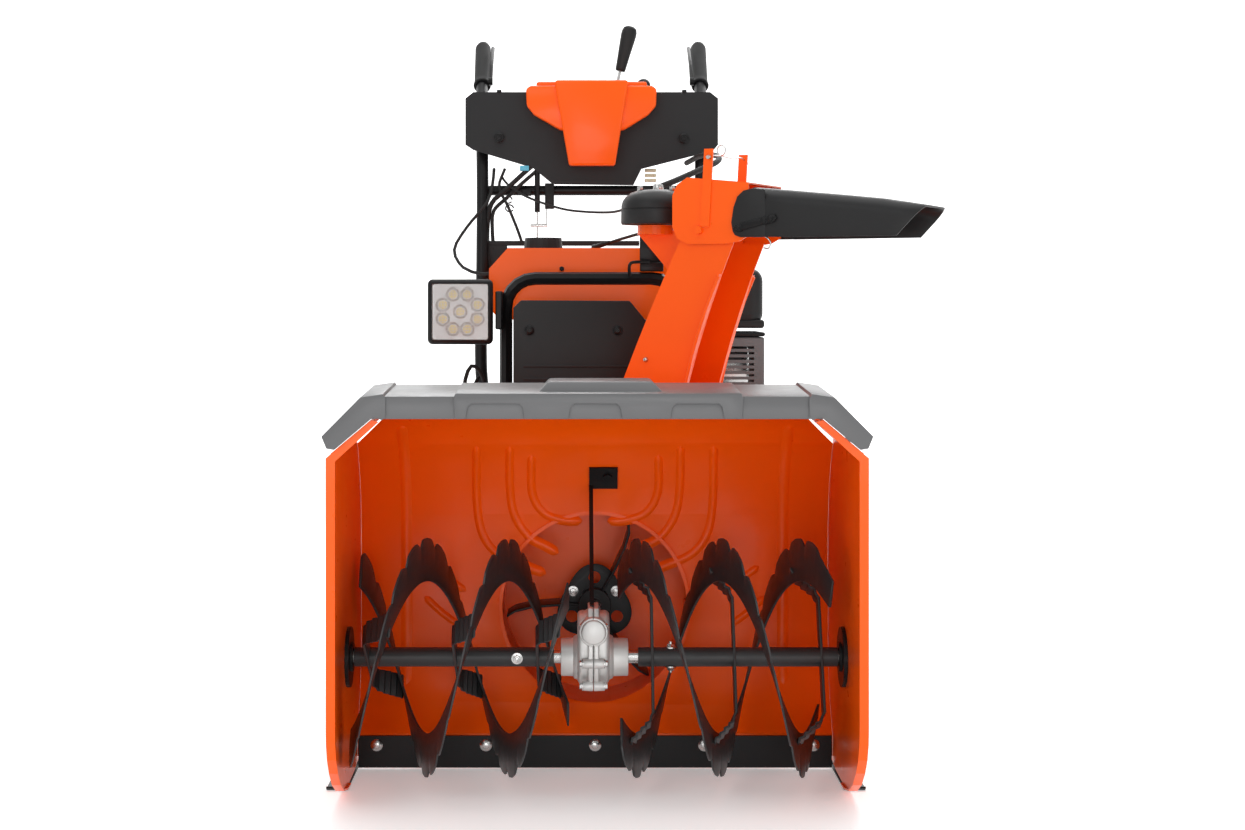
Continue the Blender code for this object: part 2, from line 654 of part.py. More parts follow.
def build_track_frame(name, side):
    """Two side plates joined across the middle of the track, carrying the idler's pin and the axle's end."""
    def strip(x, width):
        ends = (IDLER_Y - 0.03, SPROCKET_Y + 0.03)
        return block((min(side * x, side * (x + width)), ends[0], WHEEL_Z - 0.028),
                     (max(side * x, side * (x + width)), ends[1], WHEEL_Z + 0.028))

    outer, inner = strip(0.2835, 0.006), strip(0.2050, 0.006)
    low, high = sorted((side * (CHASSIS_HALF + GAP), side * 0.2895))
    cross = block((low, 0.420, 0.0850), (high, 0.540, 0.1650))
    pin = rod((side * 0.207, IDLER_Y, WHEEL_Z), (side * 0.288, IDLER_Y, WHEEL_Z), 0.0100)
    hole = rod((side * 0.19, SPROCKET_Y, WHEEL_Z), (side * 0.31, SPROCKET_Y, WHEEL_Z), 0.0130)
    piece(name, "black_paint", outer, join=[inner, cross, pin], cut=[hole])


# ---------------------------------------------------------------- engine
def build_engine():
    body = block((-0.130, 0.345, DECK_Z + GAP), (0.130, 0.660, 0.700), bevel=0.010)
    crank_hole = rod((0, 0.3, CRANK_Z), (0, 0.41, CRANK_Z), 0.0130)
    piece("engine_block", "cast_aluminium", body, cut=[crank_hole])

    outline = [(-0.165, 0.7003), (-0.183, 0.722), (-0.183, 0.790), (-0.150, 0.8265)]
    outline += [(0.128, 0.8265), (0.140, 0.812), (0.140, 0.7003)]
    inner = [(-0.160, 0.69), (-0.160, 0.7003), (-0.180, 0.7235), (-0.180, 0.789), (-0.1485, 0.8235)]
    inner += [(0.1265, 0.8235), (0.137, 0.811), (0.137, 0.69)]
    hollow = prism(inner, "Y", 0.408, 0.677)
    piece("engine_cover", "orange_paint", prism(outline, "Y", 0.405, 0.680), cut=[hollow])

    cap = rod((*FUEL_CAP, 0.8268), (*FUEL_CAP, 0.847), 0.035, 0.033, 24)
    piece("fuel_cap", "black_plastic", cap)


def build_belt_cover():
    shell = block((-0.135, 0.225, DECK_Z + GAP), (0.135, 0.336, 0.735), bevel=0.002)
    hollow = block((-0.132, 0.228, 0.3), (0.132, 0.36, 0.732))
    piece("belt_cover", "black_plastic", shell, cut=[hollow])


def build_muffler_guard():
    """The louvred guard round the muffler, open to the engine and underneath."""
    low, high = (0.1303, 0.420, 0.566), (0.303, 0.600, 0.669)
    shell = block(low, high, bevel=0.002)
    hollow = block((0.10, 0.423, 0.5), (0.300, 0.597, 0.666))
    slots = []
    for i in range(8):
        z = 0.580 + i * 0.0098
        slots.append(block((0.190, 0.40, z), (0.285, 0.43, z + 0.0045)))
        slots.append(block((0.29, 0.44, z), (0.31, 0.58, z + 0.0045)))
    piece("muffler_guard", "grey_plastic", shell, cut=[hollow, *slots])


def build_air_cleaner_cover():
    body = block((0.1405, 0.420, 0.685), (0.302, 0.600, 0.792), bevel=0.020)
    piece("air_cleaner_cover", "black_plastic", body)


def build_recoil_starter():
    z, x = 0.560, -0.050
    piece("recoil_starter", "black_plastic", rod((0, 0.6603, z), (0, 0.705, z), 0.100, 0.085, 36))
    bar = rod((x - 0.045, 0.728, 0.600), (x + 0.045, 0.728, 0.600), 0.009, sides=16)
    neck = rod((x, 0.7055, 0.600), (x, 0.728, 0.600), 0.006, sides=16)
    piece("starter_handle", "black_plastic", bar, join=[neck])


def build_guard_bar():
    """The tube in front of the engine, with the lamp's mounting plate on its right leg."""
    x, y, bend, top = 0.150, 0.315, 0.05, 0.772
    corner = [(-x, y, top - bend)]
    corner += [(a, y, b) for a, b in arc((bend - x, top - bend), bend, 180, 90, 5)[1:]]
    path = [(-x, y, DECK_Z + 0.0008), (-x, y, 0.55), *corner]
    path += [(-a, b, c) for a, b, c in reversed(corner)] + [(x, y, 0.55), (x, y, DECK_Z + 0.0008)]
    bar = tube(path, 0.011, spacing=0.2)
    plate = block((-0.1665, 0.262, 0.685), (-0.155, 0.330, 0.750), bevel=0.002)
    piece("guard_bar", "black_paint", bar, join=[plate])


def build_work_lamp():
    y, z = LAMP_PIVOT
    case = block((-0.280, y - 0.024, z - 0.055), (-0.170, y + 0.014, z + 0.055), bevel=0.006)
    fins = [block((-0.270 + i * 0.0125, y + 0.010, z - 0.045), (-0.266 + i * 0.0125, y + 0.026, z + 0.045))
            for i in range(8)]
    hub = rod((-0.172, y, z), (-0.1668, y, z), 0.010, sides=16)
    recess = block((-0.273, y - 0.03, z - 0.048), (-0.177, y - 0.021, z + 0.048))
    piece("work_lamp", "black_paint", case, join=[*fins, hub], cut=[recess])


# ---------------------------------------------------------------- chute
HEADING = Vector((math.cos(CHUTE_HEADING), math.sin(CHUTE_HEADING), 0))
ACROSS = Vector((0, 0, 1)).cross(HEADING)
CHUTE_PLANE = (HEADING, Vector((0, 0, 1)))  # its normal is -ACROSS


def chute_at(u, v, z):
    """The point u along the chute's heading, v across it and z up."""
    return Vector((*CHUTE_AXIS, z)) + HEADING * u + ACROSS * v


def chute_prism(points, low, high):
    """An outline in the chute's own upright plane, given thickness across it from v = low to v = high."""
    return prism(points, CHUTE_PLANE, -high, -low, origin=(*CHUTE_AXIS, 0))


def chute_edge(base, rise, curl, inset=0.0, steps=6, start=CHUTE_BASE_Z, stop=CHUTE_TOP_Z):
    """Points up a curved edge of the chute: u = base + rise t + curl t squared."""
    points = []
    for i in range(steps + 1):
        z = start + (stop - start) * i / steps
        t = (z - CHUTE_BASE_Z) / (CHUTE_TOP_Z - CHUTE_BASE_Z)
        points.append((base + rise * t + curl * t * t + inset, z))
    return points


def build_chute():
    half, ring_top = CHUTE_HALF, CHUTE_BASE_Z + 0.006
    foot = CHUTE_BASE_Z + 0.002
    back = chute_edge(-0.070, 0.120, 0.020, start=foot)
    front = chute_edge(0.060, 0.065, 0.037, start=foot)
    body = chute_prism(back + front[::-1], -half, half)
    ring = rod(chute_at(0, 0, CHUTE_BASE_Z), chute_at(0, 0, ring_top), 0.098, sides=32)
    shapes = [ring]
    for side in (1, -1):
        edge = {"base": 0.060, "rise": 0.065, "curl": 0.037, "start": foot + 0.002, "stop": 0.775}
        flange = chute_edge(**edge, inset=0.0004 - SHEET) + chute_edge(**edge, inset=-0.0002)[::-1]
        shapes.append(chute_prism(flange, *sorted((side * (half - 0.001), side * (half + 0.011)))))
        u, z = HOOD_PIVOT
        neck = [(u - 0.019, 0.80), (u + 0.018, 0.80), *arc((u, z), 0.0205, 0, 180, 8)]
        shapes.append(chute_prism(neck, *sorted((side * (half - SHEET + 0.0003), side * (half - 0.0003)))))
    bracket = [(-0.030, 0.8475), (-0.030, 0.842), (0.030, 0.775), (0.062, 0.800), (0.060, 0.8475)]
    shapes.append(chute_prism(bracket, -0.003, 0.003))
    hub = rod(chute_at(0, 0, 0.841), chute_at(0, 0, 0.8560), 0.030, sides=28)
    shapes.append(hub)
    throat = 0.060 - SHEET
    channel = chute_edge(-0.070, 0.120, 0.020, SHEET, start=0.47)
    channel += [(0.066, 0.90), (0.4, 0.90), (0.4, ring_top), (throat, ring_top), (throat, 0.47)]
    inside = SHEET - half
    hollow = chute_prism(channel, inside, -inside)
    mouth = rod(chute_at(0, 0, 0.45), chute_at(0, 0, ring_top + 0.001), 0.0555, sides=32)
    piece("chute", "orange_paint", body, cut=[hollow], late_join=shapes, late_cut=[mouth])


def build_chute_hood():
    outline = [(0.060, 0.850), (0.060, 0.900), (0.068, 0.917), (0.085, 0.928), (0.188, 0.918)]
    outline += [(0.188, 0.835), (0.172, 0.826), (0.150, 0.823), (0.085, 0.823), (0.068, 0.832)]
    outer = chute_prism(outline, -0.0760, 0.0760)
    inner = [(0.0625, 0.80), (0.0625, 0.899), (0.0700, 0.9150), (0.0858, 0.9254)]
    inner += [(0.21, 0.9134), (0.21, 0.80)]
    u, z = HOOD_PIVOT
    straps = []
    for side in (1, -1):
        lean = [(0.108, 0.85), (0.123, 0.85), (0.130, 0.972), (0.115, 0.972)]
        straps.append(chute_prism(lean, *sorted((side * 0.0755, side * 0.0785))))
        straps.append(rod(chute_at(u, side * 0.0755, z), chute_at(u, side * 0.0815, z), 0.007, sides=6))
    hollow = chute_prism(inner, -0.0735, 0.0735)
    piece("chute_hood", "orange_paint", outer, cut=[hollow], late_join=straps)


def build_chute_extension():
    outline = [(0.195, 0.833), (0.168, 0.866), (0.168, 0.906), (0.190, 0.912)]
    outline += [(0.400, 0.890), (0.468, 0.878), (0.452, 0.832)]
    hollow = [(0.15, 0.80), (0.15, 0.9010), (0.190, 0.9090), (0.400, 0.8870), (0.49, 0.8715), (0.49, 0.80)]
    outer = chute_prism(outline, -0.0730, 0.0730)
    piece("chute_extension", "black_plastic", outer, cut=[chute_prism(hollow, -0.0705, 0.0705)])


def build_chute_drive_head():
    """The gear head over the chute's axis, on its arm from the guard bar."""
    x, y = CHUTE_AXIS
    dome = turned(
        [(0.0205, 0.9135), (0.040, 0.908), (0.052, 0.897), (0.057, 0.880), (0.057, 0.8572), (0.0205, 0.8572)],
        Matrix.Translation((x, y, 0)),
    )
    core = rod((x, y, 0.8572), (x, y, 0.9137), 0.024)
    arm = block((x - 0.020, y + 0.02, 0.8580), (x + 0.020, 0.330, 0.8630))
    post = block((x - 0.020, 0.3262, 0.7946), (x + 0.020, 0.330, 0.8600))
    foot = block((x - 0.020, 0.305, 0.7835), (x + 0.020, 0.330, 0.8000))
    groove = rod((x - 0.1, 0.315, 0.772), (x + 0.1, 0.315, 0.772), 0.0116)
    piece("chute_drive_head", "black_plastic", core, join=[dome, arm, post, foot], cut=[groove])


# ---------------------------------------------------------------- handlebar and controls
def handlebar_path(side):
    points = [(0.1740, 0.600, 0.240), (0.1740, 0.612, 0.400), (0.190, 0.625, 0.500), (0.207, 0.640, 0.600)]
    points += [(0.207, 0.675, 0.800), (0.2075, 0.705, 0.920), (0.209, 0.728, 1.000)]
    points += [(0.212, 0.770, 1.075), (0.2155, 0.860, 1.150), (0.2193, 0.995, 1.2465)]
    return [(side * x, y, z) for x, y, z in points]


def build_handlebar():
    tubes = [tube(handlebar_path(side), 0.0115, spacing=0.06) for side in (1, -1)]
    cross = rod((-0.2, 0.722, 0.944), (0.2, 0.722, 0.944), 0.0095)
    piece("handlebar", "black_paint", cross, join=tubes)


def build_grip(name, side):
    low, high = (Vector(p) for p in handlebar_path(side)[-2:])
    along = (high - low).normalized()
    body = rod(low + along * 0.02, high + along * 0.006, 0.0155)
    bore = rod(low, high + along * 0.001, 0.0130)
    piece(name, "rubber", body, cut=[bore])


def build_control_panel():
    outline = [(-0.240, 1.030), (-0.225, 1.020), (-0.112, 0.986), (-0.074, 0.955), (0.079, 0.953)]
    outline += [(0.0945, 0.984), (0.2305, 1.0185), (0.240, 1.030), (0.240, 1.118), (0.225, 1.130)]
    outline += [(-0.225, 1.130), (-0.240, 1.118)]
    plate = prism(outline, "Y", PANEL_Y, PANEL_Y + 0.004)
    ends, bolts = [], []
    for side in (1, -1):
        low, high = sorted((side * 0.2365, side * 0.240))
        ends.append(block((low, PANEL_Y, 1.035), (high, PANEL_Y + 0.060, 1.114)))
        x = side * 0.1756
        bolts.append(rod((x, PANEL_Y + 0.001, 1.043), (x, PANEL_Y - 0.004, 1.043), 0.008, sides=6))
    piece("control_panel", "grey_plastic", plate, join=ends + bolts)


def build_console_cover():
    outline = [(-0.0376, 0.992), (0.0386, 0.992), (0.069, 1.060), (0.122, 1.100), (0.126, 1.143)]
    outline += [(0.105, 1.151), (-0.105, 1.151), (-0.126, 1.143), (-0.122, 1.100), (-0.0757, 1.060)]
    front = prism(outline, "Y", 0.672, PANEL_Y - GAP)
    lid = block((-0.105, 0.690, 1.1305), (0.105, 0.750, 1.1505))
    piece("console_cover", "orange_paint", front, join=[lid])


def build_console():
    body = block((-0.190, PANEL_Y + 0.0045, 1.020), (0.190, 0.860, 1.125), bevel=0.002)
    hollow = block((-0.187, PANEL_Y + 0.008, 1.0), (0.187, 0.857, 1.122))
    piece("console", "black_plastic", body, cut=[hollow])


def build_hand_lever(name, side):
    """A sprung clutch lever along the inner side of a grip."""
    x = side * 0.198
    route = [(x, 0.845, 1.165), (x, 0.885, 1.200), (x, 0.930, 1.227), (x, 0.965, 1.245)]
    bar = tube(route, 0.0038, spacing=0.02)
    boss = rod((x - 0.004, 0.845, 1.165), (x + 0.004, 0.845, 1.165), 0.008, sides=16)
    piece(name, "black_paint", bar, join=[boss])


def build_console_levers():
    y, z = LEVER_PIVOT
    shank = rod((0.044, y, z + 0.030), (0.050, y, z + 0.080), 0.005, sides=12)
    grip = rod((0.0495, y, z + 0.075), (0.077, y, 1.269), 0.0100, 0.0150, 20)
    piece("speed_lever", "black_plastic", grip, join=[shank])
    for name, x, top in (("chute_lever", -0.096, 1.157), ("deflector_lever", 0.1015, 1.166)):
        stem = rod((x, y, z + 0.030), (x, y, top - 0.010), 0.0052, sides=12)
        knob = turned(arc((0, 0), 0.0130, 70, -70, 6), Matrix.Translation((x, y, top - 0.013)), 16)
        piece(name, "black_plastic", stem, join=[knob])


def build_throttle_cable():
    """The cable that the machine holds in a long loop, from the console down to the engine's cover."""
    route = [(-0.186, 0.712, 0.985), (-0.188, 0.690, 0.955), (-0.197, 0.670, 0.920), (-0.235, 0.640, 0.870),
             (-0.256, 0.610, 0.828), (-0.238, 0.580, 0.795), (-0.205, 0.560, 0.783), (-0.1837, 0.555, 0.783)]
    cable = tube(route, 0.003, spacing=0.018)
    piece("throttle_cable", "rubber", cable)


def main():
    clear_scene()
    build_auger_housing()
    for hand, side in (("left", 1), ("right", -1)):
        build_side_panel("side_panel_" + hand, side)
        build_skid_shoe("skid_shoe_" + hand, side)
        build_auger_bearing("auger_bearing_" + hand, side)
        build_wheels("sprocket_" + hand, side)
        build_wheels("idler_" + hand, side)
        build_track("track_" + hand, side)
        build_track_frame("track_frame_" + hand, side)
        build_grip("grip_" + hand, side)
    build_housing_cover()
    build_impeller_housing()
    build_scraper_bar()
    build_gearbox_strap()
    build_auger_shaft()
    build_auger("auger_left", 1, (0.036, 0.342), 0.069, -26, (0, 0, 1), 0.112)
    build_auger("auger_right", -1, (-0.360, -0.042), -0.136, 60, (0, 1, 0), -0.118)
    build_gearbox_half("gearbox_half_left", SEAM_X + GAP, 0.1)
    build_gearbox_half("gearbox_half_right", -0.1, SEAM_X - GAP)
    build_worm_gear()
    build_impeller()
    build_impeller_shaft()
    build_pulleys()
    build_drive_belt()
    build_belt_tensioner()
    build_chassis()
    build_transmission()
    build_drive_axle()
    build_engine()
    build_belt_cover()
    build_muffler_guard()
    build_air_cleaner_cover()
    build_recoil_starter()
    build_guard_bar()
    build_work_lamp()
    build_chute()
    build_chute_hood()
    build_chute_extension()
    build_chute_drive_head()
    build_handlebar()
    build_control_panel()
    build_console_cover()
    build_console()
    build_hand_lever("auger_lever", -1)
    build_hand_lever("drive_lever", 1)
    build_console_levers()
    build_throttle_cable()


main()
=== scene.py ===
"""Looks for the two stage snowblower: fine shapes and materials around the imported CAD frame, in metres."""

import json
import math

import bmesh
import bpy
from mathutils import Matrix, Vector


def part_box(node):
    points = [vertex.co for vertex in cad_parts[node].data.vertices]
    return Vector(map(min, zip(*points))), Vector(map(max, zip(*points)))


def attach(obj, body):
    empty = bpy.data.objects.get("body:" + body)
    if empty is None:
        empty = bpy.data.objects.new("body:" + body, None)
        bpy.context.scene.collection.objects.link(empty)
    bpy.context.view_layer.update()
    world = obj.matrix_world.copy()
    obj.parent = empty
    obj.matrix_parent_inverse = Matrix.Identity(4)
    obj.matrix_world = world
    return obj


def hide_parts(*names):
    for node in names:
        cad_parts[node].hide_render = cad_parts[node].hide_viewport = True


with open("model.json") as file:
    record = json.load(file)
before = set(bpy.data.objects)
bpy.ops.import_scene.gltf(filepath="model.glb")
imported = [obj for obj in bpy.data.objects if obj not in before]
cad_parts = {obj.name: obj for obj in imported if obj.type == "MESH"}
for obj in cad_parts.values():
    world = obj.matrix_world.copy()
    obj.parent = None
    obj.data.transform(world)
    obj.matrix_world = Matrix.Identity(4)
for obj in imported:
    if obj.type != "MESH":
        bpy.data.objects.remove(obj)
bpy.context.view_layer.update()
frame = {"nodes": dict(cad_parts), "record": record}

# ---------------------------------------------------------------- places, from the frame
JOINTS = {joint["name"]: joint for joint in frame["record"]["behaviour"]["joints"]}
AUGER_Y, AUGER_Z = JOINTS["auger_spin"]["pos_m"][1:]
CHUTE_X, CHUTE_Y = JOINTS["chute_turn"]["pos_m"][:2]
ACROSS = Vector(JOINTS["hood_tilt"]["axis"])
HEADING = Vector((0.9063, -0.4226, 0))
DRUM_R = 0.205
DRUM_TOP_Z = 0.565


# ---------------------------------------------------------------- materials
def material(name, colour, roughness, metallic=0.0, coat=0.0, specks=0.0, speck_scale=900.0, mottle=0.06,
             mottle_scale=9.0, rough_swing=0.06, alpha=1.0, shine=0.5, glow=0.0):
    """A finish with slow colour mottling, uneven gloss and a fine surface grain, all in metres."""
    made = bpy.data.materials.new(name)
    made.use_nodes = True
    nodes, links = made.node_tree.nodes, made.node_tree.links
    shader = nodes["Principled BSDF"]
    shader.inputs["Metallic"].default_value = metallic
    shader.inputs["Coat Weight"].default_value = coat
    shader.inputs["Coat Roughness"].default_value = 0.08
    shader.inputs["Alpha"].default_value = alpha
    shader.inputs["Specular IOR Level"].default_value = shine
    shader.inputs["Emission Color"].default_value = (1, 1, 1, 1)
    shader.inputs["Emission Strength"].default_value = glow
    place = nodes.new("ShaderNodeTexCoord")

    def noise(scale, detail):
        node = nodes.new("ShaderNodeTexNoise")
        node.inputs["Scale"].default_value = scale
        node.inputs["Detail"].default_value = detail
        links.new(place.outputs["Object"], node.inputs["Vector"])
        return node.outputs["Fac"]

    slow = noise(mottle_scale, 4)
    blend = nodes.new("ShaderNodeMix")
    blend.data_type = "RGBA"
    dark = [c * (1 - mottle) for c in colour]
    light = [min(1, c * (1 + mottle)) for c in colour]
    blend.inputs["A"].default_value = (*dark, 1)
    blend.inputs["B"].default_value = (*light, 1)
    links.new(slow, blend.inputs["Factor"])
    links.new(blend.outputs["Result"], shader.inputs["Base Color"])
    swing = nodes.new("ShaderNodeMapRange")
    swing.inputs["To Min"].default_value = max(0.02, roughness - rough_swing)
    swing.inputs["To Max"].default_value = roughness + rough_swing
    links.new(noise(mottle_scale * 4, 3), swing.inputs["Value"])
    links.new(swing.outputs["Result"], shader.inputs["Roughness"])
    if specks:
        bump = nodes.new("ShaderNodeBump")
        bump.inputs["Strength"].default_value = specks
        bump.inputs["Distance"].default_value = 0.0006
        links.new(noise(speck_scale, 2), bump.inputs["Height"])
        links.new(bump.outputs["Normal"], shader.inputs["Normal"])
    return made


ORANGE = material("orange_powder_coat", (0.96, 0.108, 0.001), 0.30, coat=0.06, specks=0.04, speck_scale=380,
                  mottle=0.03, shine=0.24)
BLACK = material("black_satin_paint", (0.0075, 0.0075, 0.008), 0.38, coat=0.03, specks=0.07, speck_scale=500,
                 mottle=0.12, shine=0.20)
AUGER_BLACK = material("auger_black_paint", (0.022, 0.022, 0.023), 0.42, specks=0.14, speck_scale=300,
        mottle=0.2,
                       mottle_scale=22, shine=0.45)
GREY = material("dark_grey_plastic", (0.120, 0.121, 0.124), 0.38, specks=0.12, speck_scale=1500, mottle=0.04)
PANEL_GREY = material("panel_grey_paint", (0.022, 0.023, 0.024), 0.55, specks=0.08, speck_scale=900,
        mottle=0.05,
                      shine=0.2)
PLASTIC = material("black_plastic", (0.011, 0.011, 0.0115), 0.46, specks=0.12, speck_scale=1400, mottle=0.08,
                   shine=0.30)
CAST = material("cast_aluminium", (0.68, 0.675, 0.66), 0.48, metallic=0.65, specks=0.38, speck_scale=650,
        mottle=0.10,
                mottle_scale=30)
ENGINE_GREY = material("engine_alloy", (0.17, 0.17, 0.168), 0.5, metallic=0.5, specks=0.3, speck_scale=650,
        mottle=0.1,
                       mottle_scale=30)
STEEL = material("zinc_plated_steel", (0.56, 0.56, 0.55), 0.27, metallic=1.0, specks=0.08, speck_scale=800,
        mottle=0.08)
RUBBER = material("matt_rubber", (0.014, 0.014, 0.014), 0.70, specks=0.25, speck_scale=700, mottle=0.14,
        shine=0.3)
LENS = material("lamp_lens", (0.90, 0.90, 0.88), 0.08, alpha=0.10, mottle=0.01)
FLOOR = material("studio_floor", (0.90, 0.90, 0.90), 0.6, mottle=0.004, mottle_scale=0.6, shine=0.2,
        glow=0.30)
BACKDROP = material("studio_backdrop", (0.90, 0.90, 0.90), 0.9, mottle=0.004, mottle_scale=0.6, shine=0.0,
        glow=0.75)
MIRROR = material("lamp_reflector", (0.46, 0.46, 0.46), 0.34, metallic=0.8, mottle=0.10, mottle_scale=60)
LED = material("led_phosphor", (0.74, 0.62, 0.16), 0.45, mottle=0.10, mottle_scale=300)
BLUE = material("blue_connector", (0.10, 0.45, 0.62), 0.4, mottle=0.04, specks=0.1)
CREAM = material("cream_connector", (0.62, 0.60, 0.42), 0.45, mottle=0.04, specks=0.1)

SLOT_MATERIAL = {
    "orange_paint": ORANGE,
    "black_paint": BLACK,
    "grey_plastic": GREY,
    "black_plastic": PLASTIC,
    "cast_aluminium": CAST,
    "steel": STEEL,
    "rubber": RUBBER,
}
SLOT_OF = {part["node"]: part["material_slot"] for part in frame["record"]["subparts"]}


def soften(obj, width, segments=2, angle=32):
    """Rounds the sharp edges."""
    bevel = obj.modifiers.new("Edges", "BEVEL")
    bevel.width = width
    bevel.segments = segments
    bevel.limit_method = "ANGLE"
    bevel.angle_limit = math.radians(angle)
    bevel.miter_outer = "MITER_ARC"
    return obj


def dress_frame():
    """Gives each CAD node that stays on show its finish and fine edges."""
    for name, obj in frame["nodes"].items():
        obj.data.materials.clear()
        finish = {"control_panel": PANEL_GREY, "engine_block": ENGINE_GREY}.get(name,
                SLOT_MATERIAL[SLOT_OF[name]])
        obj.data.materials.append(finish)
        soften(obj, 0.0012, 2, 40)


# ---------------------------------------------------------------- shape helpers
def from_bmesh(name, bm):
    bmesh.ops.recalc_face_normals(bm, faces=bm.faces)
    mesh = bpy.data.meshes.new(name)
    bm.to_mesh(mesh)
    bm.free()
    obj = bpy.data.objects.new(name, mesh)
    bpy.context.scene.collection.objects.link(obj)
    return obj


def bake(obj):
    """Applies the object's modifiers and place to its mesh."""
    bpy.context.view_layer.update()
    mesh = bpy.data.meshes.new_from_object(obj.evaluated_get(bpy.context.evaluated_depsgraph_get()))
    mesh.transform(obj.matrix_world)
    if obj.type == "MESH":
        obj.modifiers.clear()
        obj.data = mesh
        obj.matrix_world = Matrix()
        return obj
    fresh = bpy.data.objects.new(obj.name, mesh)
    bpy.context.scene.collection.objects.link(fresh)
    bpy.data.objects.remove(obj, do_unlink=True)
    return fresh


def block(low, high, bevel=0.0, segments=3):
    bm = bmesh.new()
    bmesh.ops.create_cube(bm, size=1)
    size = [b - a for a, b in zip(low, high)]
    middle = [(a + b) / 2 for a, b in zip(low, high)]
    bmesh.ops.transform(bm, matrix=Matrix.Translation(middle) @ Matrix.Diagonal((*size, 1)), verts=bm.verts)
    if bevel:
        bmesh.ops.bevel(bm, geom=bm.edges, offset=bevel, segments=segments, affect="EDGES", profile=0.5)
    return from_bmesh("block", bm)


def rod(start, end, radius, end_radius=None, sides=40, bevel=0.0):
    start, end = Vector(start), Vector(end)
    along = end - start
    bm = bmesh.new()
    turn = along.to_track_quat("Z", "Y").to_matrix().to_4x4()
    bmesh.ops.create_cone(bm, cap_ends=True, segments=sides, radius1=radius,
                          radius2=radius if end_radius is None else end_radius, depth=along.length,
                          matrix=Matrix.Translation((start + end) / 2) @ turn)
    if bevel:
        rims = [edge for edge in bm.edges if any(len(face.verts) > 4 for face in edge.link_faces)]
        bmesh.ops.bevel(bm, geom=rims, offset=bevel, segments=2, affect="EDGES", profile=0.5)
    return from_bmesh("rod", bm)


AXES = {"X": ((0, 1, 0), (0, 0, 1)), "Y": ((1, 0, 0), (0, 0, 1)), "Z": ((1, 0, 0), (0, 1, 0))}


def prism(points, axis, low, high, origin=(0, 0, 0), bevel=0.0, segments=2):
    """An outline given thickness from low to high along an axis, or along the normal of two given directions."""
    first, second = (Vector(v) for v in (AXES[axis] if isinstance(axis, str) else axis))
    normal = first.cross(second) * (-1 if axis == "Y" else 1)
    bm = bmesh.new()
    verts = [bm.verts.new(Vector(origin) + first * a + second * b + normal * low) for a, b in points]
    face = bm.faces.new(verts)
    grown = bmesh.ops.extrude_face_region(bm, geom=[face])
    moved = [v for v in grown["geom"] if isinstance(v, bmesh.types.BMVert)]
    bmesh.ops.translate(bm, verts=moved, vec=normal * (high - low))
    if bevel:
        bmesh.ops.recalc_face_normals(bm, faces=bm.faces)
        edges = [e for e in bm.edges if e.calc_face_angle(0) > math.radians(25)]
        bmesh.ops.bevel(bm, geom=edges, offset=bevel, segments=segments, affect="EDGES", profile=0.5)
    return from_bmesh("prism", bm)


def smooth_path(points, spacing):
    points = [Vector(p) for p in points]
    ends = [points[0] * 2 - points[1], *points, points[-1] * 2 - points[-2]]
    path = [points[0]]
    for before, a, b, after in zip(ends, ends[1:], ends[2:], ends[3:]):
        steps = max(1, round((b - a).length / spacing))
        for i in range(1, steps + 1):
            t = i / steps
            bend = 2 * before - 5 * a + 4 * b - after
            twist = -before + 3 * a - 3 * b + after
            path.append(a + ((b - before) * t + bend * t * t + twist * t**3) / 2)
    return path


def tube(points, radius, spacing=0.01, resolution=6):
    data = bpy.data.curves.new("tube", "CURVE")
    data.dimensions = "3D"
    data.bevel_depth = radius
    data.bevel_resolution = resolution
    data.use_fill_caps = True
    path = smooth_path(points, spacing)
    spline = data.splines.new("POLY")
    spline.points.add(len(path) - 1)
    for point, place in zip(spline.points, path):
        point.co = (*place, 1)
    guide = bpy.data.objects.new("tube", data)
    bpy.context.scene.collection.objects.link(guide)
    made = bake(guide)
    bm = bmesh.new()
    bm.from_mesh(made.data)
    bmesh.ops.remove_doubles(bm, verts=bm.verts, dist=1e-5)
    bm.to_mesh(made.data)
    bm.free()
    return made


def turned(profile, place=None, steps=56):
    """A profile of (radius, height) from the axis round to the axis, turned about Z."""
    bm = bmesh.new()
    verts = [bm.verts.new((r, 0, z)) for r, z in profile]
    edges = [bm.edges.new(pair) for pair in zip(verts, verts[1:])]
    if profile[0][0] > 0:
        edges.append(bm.edges.new((verts[-1], verts[0])))
    bmesh.ops.spin(bm, geom=verts + edges, cent=(0, 0, 0), axis=(0, 0, 1), angle=2 * math.pi, steps=steps,
                   use_merge=True)
    bmesh.ops.remove_doubles(bm, verts=bm.verts, dist=1e-6)
    bmesh.ops.transform(bm, matrix=place or Matrix(), verts=bm.verts)
    return from_bmesh("turned", bm)


def solid(first, join=(), cut=()):
    """first with these shapes joined on and those cut out, baked to one mesh."""
    for shape, operation in [(s, "UNION") for s in join] + [(s, "DIFFERENCE") for s in cut]:
        boolean = first.modifiers.new("Boolean", "BOOLEAN")
        boolean.operation = operation
        boolean.object = shape
    bake(first)
    for shape in (*join, *cut):
        bpy.data.objects.remove(shape, do_unlink=True)
    return first


def show(obj, name, finish, body, *nodes, bevel=0.0, slot=None, smooth=32):
    """Names a finished piece, gives it its material, and ties it to its CAD body and nodes."""
    if bevel:
        soften(obj, bevel, 2)
        bake(obj)
    obj.name = name
    obj.data.name = name
    obj.data.materials.clear()
    obj.data.materials.append(finish)
    for polygon in obj.data.polygons:
        polygon.material_index = 0
    obj.data.shade_smooth()
    obj.data.set_sharp_from_angle(angle=math.radians(smooth))
    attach(obj, body)
    if nodes:
        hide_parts(*nodes)
    slots = {id(v): k for k, v in SLOT_MATERIAL.items()}
    named = slot or slots.get(id(finish))
    return obj


